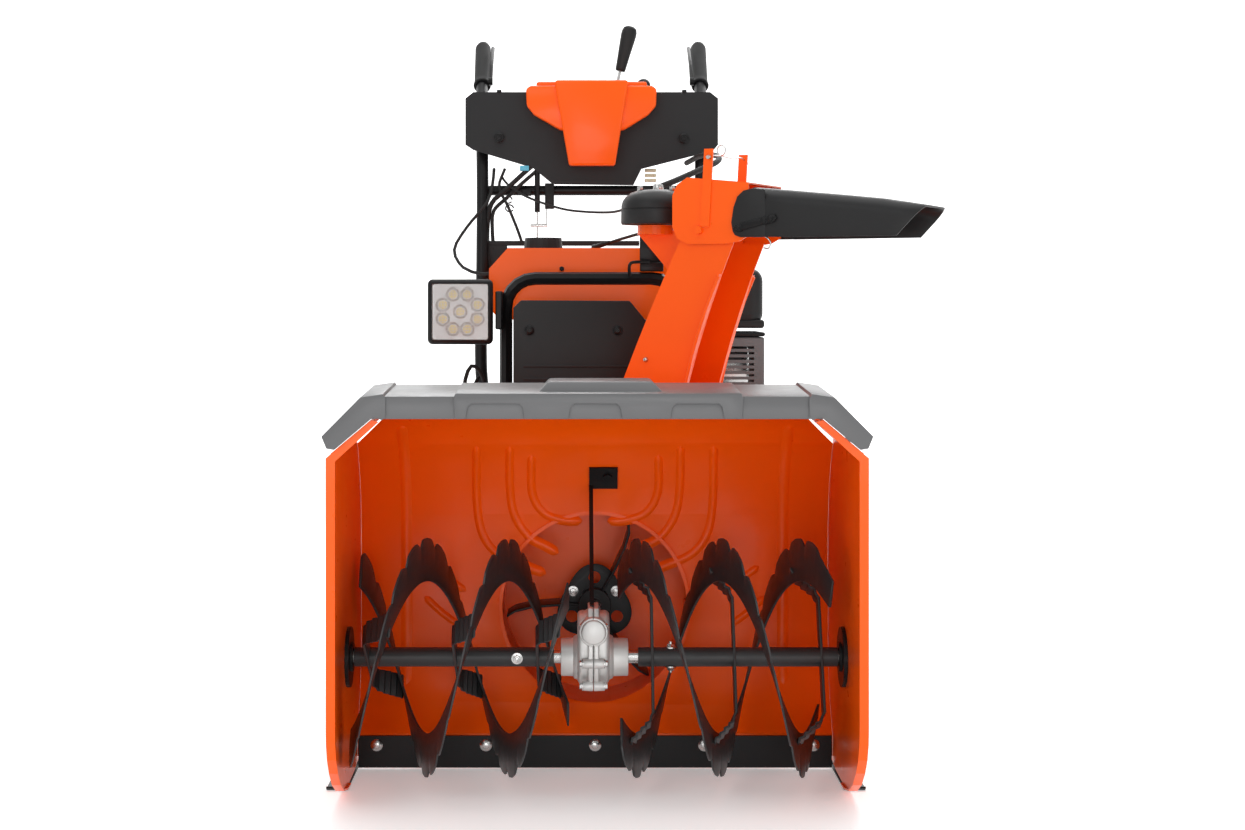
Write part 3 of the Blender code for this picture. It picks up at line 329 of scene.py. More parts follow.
def merged(shapes):
    """Several loose shapes as one object."""
    bm = bmesh.new()
    for shape in shapes:
        bm.from_mesh(shape.data)
        bpy.data.objects.remove(shape, do_unlink=True)
    return from_bmesh("merged", bm)


def arc(centre, radius, start, end, steps):
    angles = [math.radians(start + (end - start) * i / steps) for i in range(steps + 1)]
    return [(centre[0] + radius * math.cos(a), centre[1] + radius * math.sin(a)) for a in angles]


def bolt(at, axis, radius=0.0065, height=0.0045, sides=6, washer=True):
    """A hexagon or round head standing on a surface, with a washer and a small chamfer."""
    at, axis = Vector(at), Vector(axis).normalized()
    shapes = [rod(at, at + axis * height, radius, sides=sides, bevel=height * 0.18)]
    if washer:
        shapes.append(rod(at - axis * 0.001, at + axis * 0.0012, radius * 1.5, sides=28, bevel=0.0004))
    return shapes


def facing_along(place, along):
    """The turn and shift that take a shape built up +Z to a place, pointing along a direction."""
    return Matrix.Translation(place) @ along.to_track_quat("Z", "Y").to_matrix().to_4x4()


def button_screw(at, axis, radius=0.008):
    """A low round head with a hexagon socket."""
    at, axis = Vector(at), Vector(axis).normalized()
    turn = facing_along(at, axis)
    profile = [(0, 0.0016), (radius * 0.36, 0.0016), (radius * 0.38, 0.0048), (radius * 0.62, 0.0044),
               (radius * 0.88, 0.0028), (radius, 0.0008), (radius, -0.001), (0, -0.001)]
    return turned(profile, turn, 20)


# ---------------------------------------------------------------- housing
def drum_line(offset, top_angle=90, steps=28):
    radius = DRUM_R + offset
    low = arc((AUGER_Y, AUGER_Z), radius, -45, 0, steps // 2)
    high = arc((AUGER_Y, DRUM_TOP_Z - DRUM_R), radius, 0, top_angle, steps)
    return [(offset, 0.020), *low, *high]


def drum_place(s, x, lift=0.0):
    """A place on the drum's inner wall: s in metres down from the top, lift towards the auger."""
    top = math.pi / 2 * DRUM_R
    centre_z = DRUM_TOP_Z - DRUM_R
    inner = DRUM_R - lift
    if s < top:
        angle = math.pi / 2 - s / DRUM_R
        return Vector((x, AUGER_Y + inner * math.cos(angle), centre_z + inner * math.sin(angle)))
    s -= top
    straight = centre_z - AUGER_Z
    if s < straight:
        return Vector((x, AUGER_Y + inner, centre_z - s))
    angle = -(s - straight) / DRUM_R
    return Vector((x, AUGER_Y + inner * math.cos(angle), AUGER_Z + inner * math.sin(angle)))


def rib(path, half=0.0085, lift=0.0040, spacing=0.006):
    """A pressed rib on the drum wall, along (x, s) points."""
    line = smooth_path([(x, s, 0) for x, s in path], spacing)
    bm = bmesh.new()
    rings = []
    profile = [(-1.0, -0.3), (-0.62, 0.42), (-0.3, 0.9), (0, 1.0), (0.3, 0.9), (0.62, 0.42), (1.0, -0.3)]
    length = sum((b - a).length for a, b in zip(line, line[1:]))
    gone = 0.0
    for i, point in enumerate(line):
        ahead = line[min(i + 1, len(line) - 1)] - line[max(i - 1, 0)]
        side = Vector((-ahead.y, ahead.x, 0)).normalized()
        if i:
            gone += (point - line[i - 1]).length
        edge = min(gone, length - gone) / (half * 1.3)
        swell = math.sqrt(max(0.0, 1 - (1 - min(1, edge)) ** 2))
        ring = []
        for across, up in profile:
            where = point + side * across * half * max(0.12, swell)
            ring.append(bm.verts.new(drum_place(where.y, where.x, up * lift * max(0.05, swell) - 0.0002)))
        rings.append(ring)
    for ring, following in zip(rings, rings[1:]):
        for k in range(len(profile) - 1):
            bm.faces.new((ring[k], ring[k + 1], following[k + 1], following[k]))
    for ring, following in zip(rings, rings[1:]):
        bm.faces.new((ring[-1], ring[0], following[0], following[-1]))
    bm.faces.new(list(rings[0]))
    bm.faces.new(list(reversed(rings[-1])))
    return from_bmesh("rib", bm)


def build_housing():
    line = drum_line(0)
    outer = drum_line(0.0025)
    shell = prism(line + outer[::-1], "X", -0.3722, 0.3722)
    hole = rod((0, 0.02, 0.245), (0, 0.10, 0.245), 0.1475, sides=96)
    corner = [(0.29, 0.5866), (0.3722 + 0.01, 0.5096 - 0.0084), (0.45, 0.50), (0.45, 0.66), (0.29, 0.66)]
    cuts = [hole]
    for side in (1, -1):
        cuts.append(prism([(side * x, z) for x, z in corner], "Y", -0.45, 0.15))
    drum = solid(shell, cut=cuts)
    show(drum, "drum", ORANGE, "machine", "auger_housing", bevel=0.0006)

    ribs = []
    for side in (1, -1):
        outer_rib = [(0.186, 0.16), (0.188, 0.26), (0.180, 0.318), (0.155, 0.352), (0.110, 0.372),
                (0.078, 0.384)]
        inner_rib = [(0.134, 0.16), (0.135, 0.24), (0.128, 0.29), (0.105, 0.325), (0.078, 0.340),
                (0.058, 0.352)]
        for path in (outer_rib, inner_rib):
            ribs.append(rib([(side * x, s) for x, s in path]))
        arch = [(side * x, s) for x, s in ((0.100, 0.18), (0.100, 0.25), (0.083, 0.285), (0.052, 0.298),
                (0.020, 0.300))]
        ribs.append(rib(arch))
        ribs.append(rib([(side * 0.262, 0.372), (side * 0.240, 0.388), (side * 0.205, 0.412)], 0.0075))
        ribs.append(rib([(side * 0.272, 0.42), (side * 0.245, 0.445), (side * 0.218, 0.465)], 0.0075))
        ribs.append(rib([(side * 0.300, 0.10), (side * 0.300, 0.25), (side * 0.300, 0.42),
                (side * 0.300, 0.56)], 0.011,
                        0.0030))
    show(merged(ribs), "drum_ribs", ORANGE, "machine")

    rim = turned([(0.1475, 0.0), (0.1520, 0.0), (0.1530, 0.0012), (0.1530, 0.0030), (0.1475, 0.0030)],
                 Matrix.Translation((0, 0.0595, 0.245)) @ Matrix.Rotation(math.pi / 2, 4, "X"), 96)
    show(rim, "impeller_opening_rim", ORANGE, "machine", bevel=0.0)


def build_scraper_bolts():
    """Five bright carriage bolts on the scraper."""
    dome = [(0, 0.0042), (0.0045, 0.0038), (0.0078, 0.0024), (0.0096, 0.0006), (0.0098, -0.0003),
            (0, -0.0003)]
    domes = []
    for k in range(-2, 3):
        facing = Matrix.Translation((k * 0.171, -0.0058, 0.038)) @ Matrix.Rotation(math.pi / 2, 4, "X")
        domes.append(turned(dome, facing, 32))
    show(merged(domes), "scraper_carriage_bolts", STEEL, "machine")


# ---------------------------------------------------------------- augers, gearbox and impeller
LEAD = 0.245
TEETH_PER_TURN = 15
TIP_R, ROOT_R, INNER_R = 0.1775, 0.1635, 0.1125
TOOTH = [(0.0, 0.0), (0.07, 0.38), (0.15, 0.80), (0.20, 0.90), (0.45, 1.0), (0.70, 0.93), (0.78, 0.82),
        (0.90, 0.42)]


def auger_point(x, angle, radius):
    return Vector((x, AUGER_Y - math.sin(angle) * radius, AUGER_Z + math.cos(angle) * radius))


def ribbon(start, end, phase, hand):
    """A flat ribbon wound round the auger axis with flat-topped teeth and narrow notches between them."""
    turns = (end - start) / LEAD
    shares = []
    for tooth in range(math.floor(turns * TEETH_PER_TURN)):
        shares += [((tooth + t) / TEETH_PER_TURN, rise) for t, rise in TOOTH]
    shares.append((turns, 0.5))
    bm = bmesh.new()
    rings = []
    for turn, rise in shares:
        x = start + turn * LEAD
        angle = hand * 2 * math.pi * (x - phase) / LEAD
        outer = ROOT_R + (TIP_R - ROOT_R) * rise
        middle = (INNER_R + ROOT_R) / 2
        ring = []
        for radius, side in ((INNER_R, -1), (middle, -1.15), (outer, -0.75), (outer, 0.75), (middle, 1.15),
                (INNER_R, 1)):
            ring.append(bm.verts.new(auger_point(x + side * 0.0019, angle, radius)))
        rings.append(ring)
    for ring, following in zip(rings, rings[1:]):
        for k in range(6):
            bm.faces.new((ring[k], ring[(k + 1) % 6], following[(k + 1) % 6], following[k]))
    bm.faces.new(rings[0])
    bm.faces.new(list(reversed(rings[-1])))
    return from_bmesh("ribbon", bm)


def strap(x_bar, x_ribbon, angle):
    """A flat bar across the tube whose stepped ends bend in to the ribbons."""
    lean = (x_ribbon - x_bar)
    line = [(x_bar, 0.0), (x_bar, 0.088), (x_bar + lean * 0.10, 0.0935)]
    for k in range(4):
        a, b = 0.12 + 0.21 * k, 0.12 + 0.21 * (k + 1)
        line.append((x_bar + lean * (a + 0.03), 0.0945 + 0.036 * a + 0.0035))
        line.append((x_bar + lean * (b + 0.01), 0.0945 + 0.036 * b - 0.0012))
    line.append((x_ribbon, 0.134))
    full = [(x, -r) for x, r in reversed(line[1:])] + line
    half = 0.0019
    bm = bmesh.new()
    rings = []
    for i, (x, r) in enumerate(full):
        before, after = Vector(full[max(i - 1, 0)]), Vector(full[min(i + 1, len(full) - 1)])
        along = (after - before).normalized()
        out = Vector((along.y, -along.x)) * half
        width = 0.0150 + 0.0035 * min(1.0, max(0.0, (abs(r) - 0.09) / 0.02))
        ring = []
        for across, side in ((-width, -1), (width, -1), (width, 1), (-width, 1)):
            px, pr = x + out.x * side, r + out.y * side
            base = auger_point(px, angle, pr)
            tangent = Vector((0, -math.cos(angle), -math.sin(angle)))
            ring.append(bm.verts.new(base + tangent * across))
        rings.append(ring)
    for ring, following in zip(rings, rings[1:]):
        for k in range(4):
            bm.faces.new((ring[k], ring[(k + 1) % 4], following[(k + 1) % 4], following[k]))
    bm.faces.new(rings[0])
    bm.faces.new(list(reversed(rings[-1])))
    return from_bmesh("strap", bm)


def build_augers():
    for name, side, ends, phase, strap_angle, bolt_axis, bolt_x in (
        ("auger_left", 1, (0.036, 0.342), 0.069, -26, (0, 0, 1), 0.112),
        ("auger_right", -1, (-0.360, -0.042), -0.136, 60, (0, -1, 0), -0.118),
    ):
        ribbons = [ribbon(*ends, phase + start * LEAD / 2, side) for start in (0, 1)]
        show(merged(ribbons), name + "_ribbons", AUGER_BLACK, "auger", name, bevel=0.0006)
        turn = math.radians(strap_angle)
        first = phase + side * turn * LEAD / (2 * math.pi)
        if side < 0:
            first += LEAD / 2
        straps = []
        for index in range(3):
            x = first + side * index * LEAD / 2
            straps.append(strap(x + side * (0.033 if index < 2 else 0.041), x, turn))
        show(merged(straps), name + "_straps", AUGER_BLACK, "auger", name, bevel=0.0007)
        low, high = Vector((side * 0.063, AUGER_Y, AUGER_Z)), Vector((side * 0.362, AUGER_Y, AUGER_Z))
        profile = [(0.0100, 0), (0.0138, 0), (0.0144, 0.0008), (0.0144, 0.2982), (0.0138, 0.299),
                (0.0100, 0.299)]
        facing = facing_along(low, high - low)
        show(turned(profile, facing), name + "_tube", AUGER_BLACK, "auger", name)
        bolts = []
        for end in (1, -1):
            seat = Vector((bolt_x, AUGER_Y, AUGER_Z)) + Vector(bolt_axis) * 0.0142 * end
            bolts += bolt(seat, Vector(bolt_axis) * end, 0.0058, 0.0058)
            bolts.append(rod(seat, seat + Vector(bolt_axis) * end * 0.009, 0.0028, sides=20, bevel=0.0005))
        show(merged(bolts), name + "_shear_bolt", STEEL, "auger", name)


def build_gearbox():
    seam = -0.004
    y, z = AUGER_Y, AUGER_Z

    def outline(grow, top=0.068):
        low = arc((y, z), 0.040 + grow, 180, 360, 40)
        return low + [(y + 0.041 + grow, z + 0.040), (y + 0.036 + grow, z + 0.056),
                (y + 0.022 + grow, z + top + grow),
                      (y - 0.022 - grow, z + top + grow), (y - 0.036 - grow, z + 0.056), (y - 0.041 - grow,
                              z + 0.040)]

    for side, name in ((1, "gearbox_half_left"), (-1, "gearbox_half_right")):
        near, far = seam + side * 0.0004, seam + side * 0.0082
        flange = prism(outline(0.0095), "X", *sorted((near, far)), bevel=0.0018, segments=3)
        case = prism(outline(0.0), "X", *sorted((near, seam + side * 0.0240)), bevel=0.0075, segments=5)
        reach = 0.048 if side > 0 else -0.0525
        barrel = rod((near, y, z), (reach, y, z), 0.0292, 0.0280, sides=72, bevel=0.0012)
        seat = rod((seam + side * 0.010, y, z), (seam + side * 0.030, y, z), 0.040, 0.031, sides=72,
                bevel=0.002)
        boss = rod((seam, y - 0.054, 0.245), (seam, y + 0.054, 0.245), 0.0215, sides=64, bevel=0.003)
        half_space = block(*[tuple(v) for v in zip(*(sorted(p) for p in ((near, side * 0.1), (-0.3, 0.1),
                (0.0, 0.5))))])
        keep = boss.modifiers.new("Half", "BOOLEAN")
        keep.operation = "INTERSECT"
        keep.object = half_space
        bake(boss)
        bpy.data.objects.remove(half_space, do_unlink=True)
        ears = []
        for ey, ez in ((y - 0.043, z + 0.052), (y - 0.0475, z - 0.002), (y - 0.036, z - 0.037)):
            ears.append(rod((near, ey, ez), (seam + side * 0.0160, ey, ez), 0.0078, 0.0070, sides=32,
                    bevel=0.0010))
        rib_plate = prism([(near, z - 0.034), (seam + side * 0.044, z - 0.020),
                (seam + side * 0.044, z - 0.010), (near, z)],
                          "Y", y - 0.003, y + 0.003, bevel=0.0008)
        show(merged([flange, case, barrel, seat, boss, rib_plate, *ears]), name + "_casting", CAST, "machine",
                name)
        heads = []
        for ey, ez in ((y - 0.043, z + 0.052), (y - 0.0475, z - 0.002), (y - 0.036, z - 0.037)):
            heads += bolt((seam + side * 0.0158, ey, ez), (side, 0, 0), 0.0048, 0.0052)
        show(merged(heads), name + "_bolts", STEEL, "machine", name)
    cap = turned([(0, 0.0), (0.0150, 0.0), (0.0172, 0.0012), (0.0185, 0.0045), (0.0185, 0.010), (0, 0.010)],
                 Matrix.Translation((seam, y - 0.0585, 0.245)) @ Matrix.Rotation(math.radians(-90), 4,
                         "X"), 48)
    show(cap, "gearbox_worm_cap", CAST, "machine", "gearbox_half_left")


def build_impeller():
    z, front, back = 0.245, 0.078, 0.148
    pieces = []
    for angle in (60, 180, 300):
        blade = [(0.018, 0.000), (0.060, 0.000), (0.100, 0.003), (0.128, 0.010), (0.141, 0.018)]
        outline_pts = [(x, d + 0.002) for x, d in blade] + [(x, d - 0.002) for x, d in reversed(blade)]
        plate = prism(outline_pts, "Y", front, back, bevel=0.0009)
        plate.data.transform(Matrix.Translation((0, 0, z)) @ Matrix.Rotation(-math.radians(angle), 4, "Y"))
        pieces.append(plate)
    lobes = []
    for k in range(72):
        a = math.radians(k * 5)
        lobes.append(((0.0575 + 0.0065 * math.cos(3 * (a - math.pi / 2))) * math.cos(a),
                      (0.0575 + 0.0065 * math.cos(3 * (a - math.pi / 2))) * math.sin(a)))
    plate = prism([(x, z + up) for x, up in lobes], "Y", 0.0985, 0.1025, bevel=0.0008)
    holes = [rod((0, 0.01, z), (0, 0.2, z), 0.0104, sides=48)]
    for angle in (90, 210, 330):
        a = math.radians(angle)
        x, up = 0.042 * math.cos(a), z + 0.042 * math.sin(a)
        holes.append(rod((x, 0.09, up), (x, 0.11, up), 0.0098, sides=40))
    pieces.append(solid(plate, cut=holes))
    hub = turned([(0.0106, 0.076), (0.0255, 0.076), (0.0265, 0.077), (0.0265, 0.149), (0.0255, 0.150),
            (0.0106, 0.150)],
                 Matrix.Translation((0, 0, z)) @ Matrix.Rotation(math.radians(-90), 4, "X"), 56)
    pieces.append(hub)
    show(merged(pieces), "impeller_rotor", BLACK, "impeller_rotor", "impeller")
    heads = []
    for angle in (30, 150, 270):
        a = math.radians(angle)
        x, up = 0.040 * math.cos(a), z + 0.040 * math.sin(a)
        heads += bolt((x, 0.0986, up), (0, -1, 0), 0.0058, 0.0045)
    show(merged(heads), "impeller_bolts", STEEL, "impeller_rotor", "impeller")


# ---------------------------------------------------------------- cover, chute and deflector
def build_cover():
    def chamfer_point(x, lift=0.0):
        return (x, (0.636 + lift - 0.643 * x) / 0.766)

    half = [chamfer_point(0.3175, 0.0032), chamfer_point(0.367, 0.0032), (0.379, 0.5275), (0.3855, 0.543),
            (0.3315, 0.5955), (0.300, 0.5995)]
    shell = prism(half + [(-x, z) for x, z in reversed(half)], "Y", -0.3485, -0.150)
    for vert in shell.data.vertices:
        if vert.co.y > -0.2 and vert.co.z > 0.59:
            vert.co.z += 0.009
    inner = [chamfer_point(0.316, -0.01), chamfer_point(0.372, -0.01), (0.372, 0.5275), (0.3815, 0.543),
            (0.329, 0.593),
             (0.300, 0.596)]
    hollow = prism(inner + [(-x, z) for x, z in reversed(inner)], "Y", -0.3455, -0.1)
    show(solid(shell, cut=[hollow]), "cover_shell", GREY, "machine", "housing_cover", bevel=0.0020)

    caps = []
    for side in (1, -1):
        cap = [chamfer_point(0.3140, 0.0032), chamfer_point(0.3690, 0.0032), (0.3800, 0.5265),
                (0.3870, 0.5435),
               (0.3325, 0.5985), (0.3010, 0.6030), (0.2970, 0.5965), (0.2970, 0.5700), (0.3020, 0.5665)]
        inside = [chamfer_point(0.30, -0.01), chamfer_point(0.372, -0.01), (0.374, 0.5265), (0.3845, 0.5430),
                  (0.3305, 0.5962), (0.30, 0.5998), (0.29, 0.59), (0.29, 0.56)]
        shape = prism([(side * x, z) for x, z in cap], "Y", -0.3515, -0.1480)
        for vert in shape.data.vertices:
            if vert.co.y > -0.2 and vert.co.z > 0.59:
                vert.co.z += 0.009
        room = prism([(side * x, z) for x, z in inside], "Y", -0.3487, -0.14)
        caps.append(solid(shape, cut=[room]))
    show(merged(caps), "cover_end_caps", GREY, "machine", "housing_cover", bevel=0.0022)

    raised = prism([(-0.200, 0.5680), (0.203, 0.5680), (0.205, 0.5970), (0.202, 0.6040), (-0.199, 0.6040),
            (-0.202, 0.5970)],
                   "Y", -0.3520, -0.1700)
    for vert in raised.data.vertices:
        if vert.co.y > -0.2 and vert.co.z > 0.59:
            vert.co.z += 0.008
    room = prism([(-0.197, 0.560), (0.200, 0.560), (0.2015, 0.5965), (0.199, 0.6005), (-0.197, 0.6005),
            (-0.199, 0.5965)],
                 "Y", -0.3488, -0.16)
    recesses = [room]
    for low, high in ((-0.1855, -0.1014), (-0.0412, 0.0358), (0.1017, 0.1787)):
        shape = [(low - 0.001, 0.560), (high + 0.001, 0.560), (high - 0.004, 0.5850), (high - 0.009, 0.5895),
                 (low + 0.009, 0.5895), (low + 0.004, 0.5850)]
        recesses.append(prism(shape, "Y", -0.3530, -0.3480))
    show(solid(raised, cut=recesses), "cover_centre", GREY, "machine", "housing_cover", bevel=0.0014)

    hump = prism([(-0.0855, 0.596), (0.0955, 0.596), (0.0955, 0.602), (0.079, 0.6195), (-0.069, 0.6195),
            (-0.0855, 0.602)],
                 "Y", -0.325, -0.170)
    for vert in hump.data.vertices:
        if vert.co.z > 0.61:
            vert.co.y += 0.012 if vert.co.y < -0.2 else -0.012
    show(hump, "cover_hump", GREY, "machine", "housing_cover", bevel=0.0045)


def at(u, v, z):
    """A place in the chute's own directions: along its heading, across it, and up."""
    return Vector((CHUTE_X, CHUTE_Y, z)) + HEADING * u + ACROSS * v


def dress_chute():
    soft = [("chute", 0.0009), ("chute_hood", 0.0022)]
    for node, width in soft:
        frame["nodes"][node].modifiers["Edges"].width = width
    lips = []
    for side in (1, -1):
        path = [at(u + 0.0030, side * 0.0795, z) for u, z in
                ((0.0615, 0.506), (0.0720, 0.560), (0.0850, 0.620), (0.1010, 0.680), (0.1210, 0.735),
                        (0.1370, 0.772))]
        lips.append(tube(path, 0.0024, 0.012, 4))
    show(merged(lips), "chute_rolled_lips", ORANGE, "chute_body")
    heads = []
    for u, z in ((0.012, 0.640), (0.030, 0.535)):
        heads.append(button_screw(at(u, -0.0702, z), -ACROSS, 0.0042))
        heads.append(button_screw(at(u, 0.0702, z), ACROSS, 0.0042))
    show(merged(heads), "chute_bolts", STEEL, "chute_body")

    posts = []
    for side in (1, -1):
        posts.append(tube([at(0.1245, side * 0.0785, 0.958), at(0.1245, side * 0.083, 0.9595),
                at(0.1245, side * 0.088, 0.958)],
                          0.0030, 0.003, 4))
    wire = [at(0.1245, -0.080, 0.9615)]
    for k in range(13):
        a = k / 12 * 2 * math.pi
        wire.append(at(0.1245 + 0.0075 * math.sin(a), -0.030 + 0.004 * k / 12,
                0.9640 + 0.0085 * (1 - math.cos(a))))
    wire += [at(0.1245, 0.020, 0.9625), at(0.1245, 0.060, 0.9660), at(0.1245, 0.080, 0.9615)]
    show(merged([*posts, tube(wire, 0.0011, 0.003, 3)]), "hood_wire", STEEL, "hood")
    loop = [at(0.212, -0.0700, 0.8345), at(0.219, -0.0720, 0.8300), at(0.223, -0.0720, 0.8230),
            at(0.219, -0.0715, 0.8150),
            at(0.211, -0.0700, 0.8160)]
    show(tube(loop, 0.0012, 0.003, 3), "hood_hook", STEEL, "extension")


def build_extension():
    """The moulded deflector: an upside-down channel with rounded shoulders and a slanted mouth."""
    stations = [(0.1690, 0.9035, 0.0705), (0.190, 0.9115, 0.0728), (0.2100, 0.9095, 0.0728),
            (0.2108, 0.9094, 0.0784),
                (0.260, 0.9045, 0.0775), (0.330, 0.8975, 0.0745),
                (0.400, 0.8900, 0.0700), (0.440, 0.8835, 0.0690), (0.466, 0.8785, 0.0682)]
    rings = []
    bm = bmesh.new()
    for index, (u, top, half) in enumerate(stations):
        bottom = 0.8665 if index == 0 else 0.8325
        reach = 0.022
        profile = []
        for inset in (0.0, 0.0026):
            h, t, r = half - inset, top - inset, reach - inset
            line = [(-h, bottom), (-h, (bottom + t - r) / 2), (-h, t - r)]
            line += [(-h + r - r * math.cos(a),
                    t - r + r * math.sin(a)) for a in (math.pi / 2 * k / 8 for k in range(1, 9))]
            line += [(-v, z) for v, z in reversed(line)]
            profile.append(line)
        loop = profile[0] + profile[1][::-1]
        slant = 0.95
        tip = index / (len(stations) - 1)
        ring = []
        for v, z in loop:
            shift = -slant * (top - z) * max(0.0, tip - 0.5) * 2 if index else 0.0
            if index == 1:
                shift = 0.006 * (top - z) / 0.08
            ring.append(bm.verts.new(at(u + shift, v, z)))
        rings.append(ring)
    for ring, following in zip(rings, rings[1:]):
        for k in range(len(ring)):
            bm.faces.new((ring[k], ring[(k + 1) % len(ring)], following[(k + 1) % len(ring)], following[k]))
    for ring in (rings[0], rings[-1]):
        count = len(ring)
        for k in range(count // 2 - 1):
            bm.faces.new((ring[k], ring[k + 1], ring[count - 2 - k], ring[count - 1 - k]))
    made = from_bmesh("extension", bm)
    show(made, "deflector_shell", PLASTIC, "extension", "chute_extension", bevel=0.0007, smooth=40)
    link_bar, screws, cheeks = [], [], []
    for side in (1, -1):
        cheek = [(0.1625, 0.8420), (0.1600, 0.8560), (0.1640, 0.8800), (0.1700, 0.8960), (0.1800, 0.9050),
                (0.1950, 0.9085),
                 (0.2160, 0.9062), (0.2160, 0.8327), (0.1750, 0.8327), (0.1660, 0.8360)]
        cheeks.append(prism(cheek, (HEADING, Vector((0, 0, 1))), *sorted((-side * 0.0766, -side * 0.0786)),
                            origin=(CHUTE_X, CHUTE_Y, 0), bevel=0.0007))
        bar = [(0.168, 0.8400), (0.232, 0.8560), (0.236, 0.8620), (0.232, 0.8680), (0.168, 0.8520),
                (0.164, 0.8460)]
        shape = prism(bar, (HEADING, Vector((0, 0, 1))), *sorted((-side * 0.0788, -side * 0.0816)),
                      origin=(CHUTE_X, CHUTE_Y, 0), bevel=0.0010)
        link_bar.append(shape)
        for u, z in ((0.173, 0.8468), (0.215, 0.8575), (0.226, 0.8605)):
            screws += bolt(at(u, side * 0.0812, z), ACROSS * side, 0.0042, 0.0034)
    show(merged(cheeks), "deflector_cheeks", PLASTIC, "extension")
    show(merged(link_bar), "deflector_links", BLACK, "extension")
    show(merged(screws), "deflector_screws", BLACK, "extension")


def build_drive_head():
    centre = Matrix.Translation((CHUTE_X, CHUTE_Y, 0))
    dome = turned([(0.0, 0.9140), (0.018, 0.9140), (0.030, 0.9125), (0.041, 0.9085), (0.049, 0.9025),
            (0.0540, 0.8955),
                   (0.0560, 0.8885), (0.0563, 0.8830), (0.0552, 0.8824), (0.0552, 0.8812), (0.0566, 0.8806),
                   (0.0568, 0.8600), (0.0555, 0.8574), (0.0, 0.8574)], centre, 96)
    show(dome, "drive_head_dome", PLASTIC, "machine", "chute_drive_head")
    x, y = CHUTE_X, CHUTE_Y
    arm = block((x - 0.020, y + 0.03, 0.8580), (x + 0.020, 0.330, 0.8632), 0.0012)
    post = block((x - 0.020, 0.3262, 0.7946), (x + 0.020, 0.330, 0.8605), 0.0010)
    foot = solid(block((x - 0.020, 0.3050, 0.7837), (x + 0.020, 0.330, 0.8000), 0.0020),
                 cut=[rod((x - 0.1, 0.315, 0.772), (x + 0.1, 0.315, 0.772), 0.0117)])
    show(merged([arm, post, foot]), "drive_head_arm", BLACK, "machine", "chute_drive_head")
    gland = [rod((x + 0.004, y + 0.006, 0.9135), (x + 0.004, y + 0.006, 0.9235), 0.0090, 0.0075, bevel=0.001)]
    gland += [rod((x - 0.026, y - 0.004, 0.9115), (x - 0.026, y - 0.004, 0.9190), 0.0052, sides=6,
            bevel=0.0006)]
    gland += [rod((x + 0.026, y - 0.010, 0.9110), (x + 0.026, y - 0.010, 0.9185), 0.0052, sides=6,
            bevel=0.0006)]
    show(merged(gland), "drive_head_fittings", STEEL, "machine")
    conduit = [(x + 0.004, y + 0.020, 0.9190), (x + 0.030, y + 0.050, 0.9300), (x + 0.075, y + 0.110, 0.9520),
               (x + 0.112, y + 0.180, 0.9720), (x + 0.118, y + 0.300, 0.9900), (x + 0.100, y + 0.450, 1.0000),
               (x + 0.080, y + 0.575, 0.9950)]
    show(tube(conduit, 0.0050, 0.012, 6), "drive_conduit", RUBBER, "machine")
    hook = [(0.0620, 0.3000, 0.7760), (0.0610, 0.2960, 0.7900), (0.0640, 0.2950, 0.7980),
            (0.0760, 0.2980, 0.8000),
            (0.0960, 0.3080, 0.8000)]
    show(tube(hook, 0.0028, 0.004, 5), "guard_hook", BLACK, "machine")


# ---------------------------------------------------------------- handlebar and controls
def build_console():
    centre = [(-0.0430, 0.9890), (0.0440, 0.9890), (0.0690, 1.1430), (0.0670, 1.1500), (-0.0680, 1.1500),
            (-0.0700, 1.1430)]
    front = prism(centre, "Y", 0.6685, 0.6995, bevel=0.0040, segments=3)
    wings = [(-0.0590, 1.0560), (-0.1090, 1.0850), (-0.1230, 1.1020), (-0.1245, 1.1330), (-0.1170, 1.1400),
             (0.1150, 1.1400), (0.1225, 1.1330), (0.1215, 1.1020), (0.1070, 1.0850), (0.0600, 1.0560)]
    back = prism(wings, "Y", 0.6760, 0.6996, bevel=0.0038, segments=3)
    lid = block((-0.105, 0.690, 1.1300), (0.105, 0.752, 1.1492), 0.005, 4)
    show(merged([back, front, lid]), "console_cover_shell", ORANGE, "machine", "console_cover")
    screws = []
    for x, z in ((-0.1755, 1.0430), (0.1745, 1.0415)):
        screws += [turned([(0, 0.0), (0.0095, 0.0), (0.0095, 0.0016), (0.0078, 0.0030), (0.0, 0.0030)],
                          Matrix.Translation((x, 0.6958, z)) @ Matrix.Rotation(math.radians(90), 4, "X"), 32)]
        screws += [rod((x, 0.6960, z), (x, 0.6900, z), 0.0052, sides=6, bevel=0.0007)]
    for x in (-0.176, 0.176):
        screws.append(rod((x, 0.703, 1.128), (x, 0.703, 1.1345), 0.0045, sides=20, bevel=0.001))
    show(merged(screws), "panel_screws", BLACK, "machine")


def build_grips():
    for name, side in (("grip_left", 1), ("grip_right", -1)):
        low, high = Vector((side * 0.2155, 0.860, 1.150)), Vector((side * 0.2193, 0.995, 1.2465))
        along = (high - low).normalized()
        start, length = low + along * 0.015, (high - low).length - 0.002
        profile = [(0.0130, 0.0), (0.0165, 0.0), (0.0172, 0.0022), (0.0160, 0.0060), (0.0155, 0.020)]
        profile += [(0.0156, length - 0.018)]
        profile += [(0.0156 * math.cos(a), length - 0.015 + 0.0145 * math.sin(a))
                    for a in (math.pi / 2 * k / 8 for k in range(0, 9))]
        profile += [(0.0, length - 0.003), (0.0130, length - 0.003)]
        facing = facing_along(start, along)
        show(turned(profile[:-2] + [(0, length - 0.004), (0.0128, length - 0.004)], facing, 48),
                name + "_sleeve", RUBBER,
             "machine", name, smooth=50)


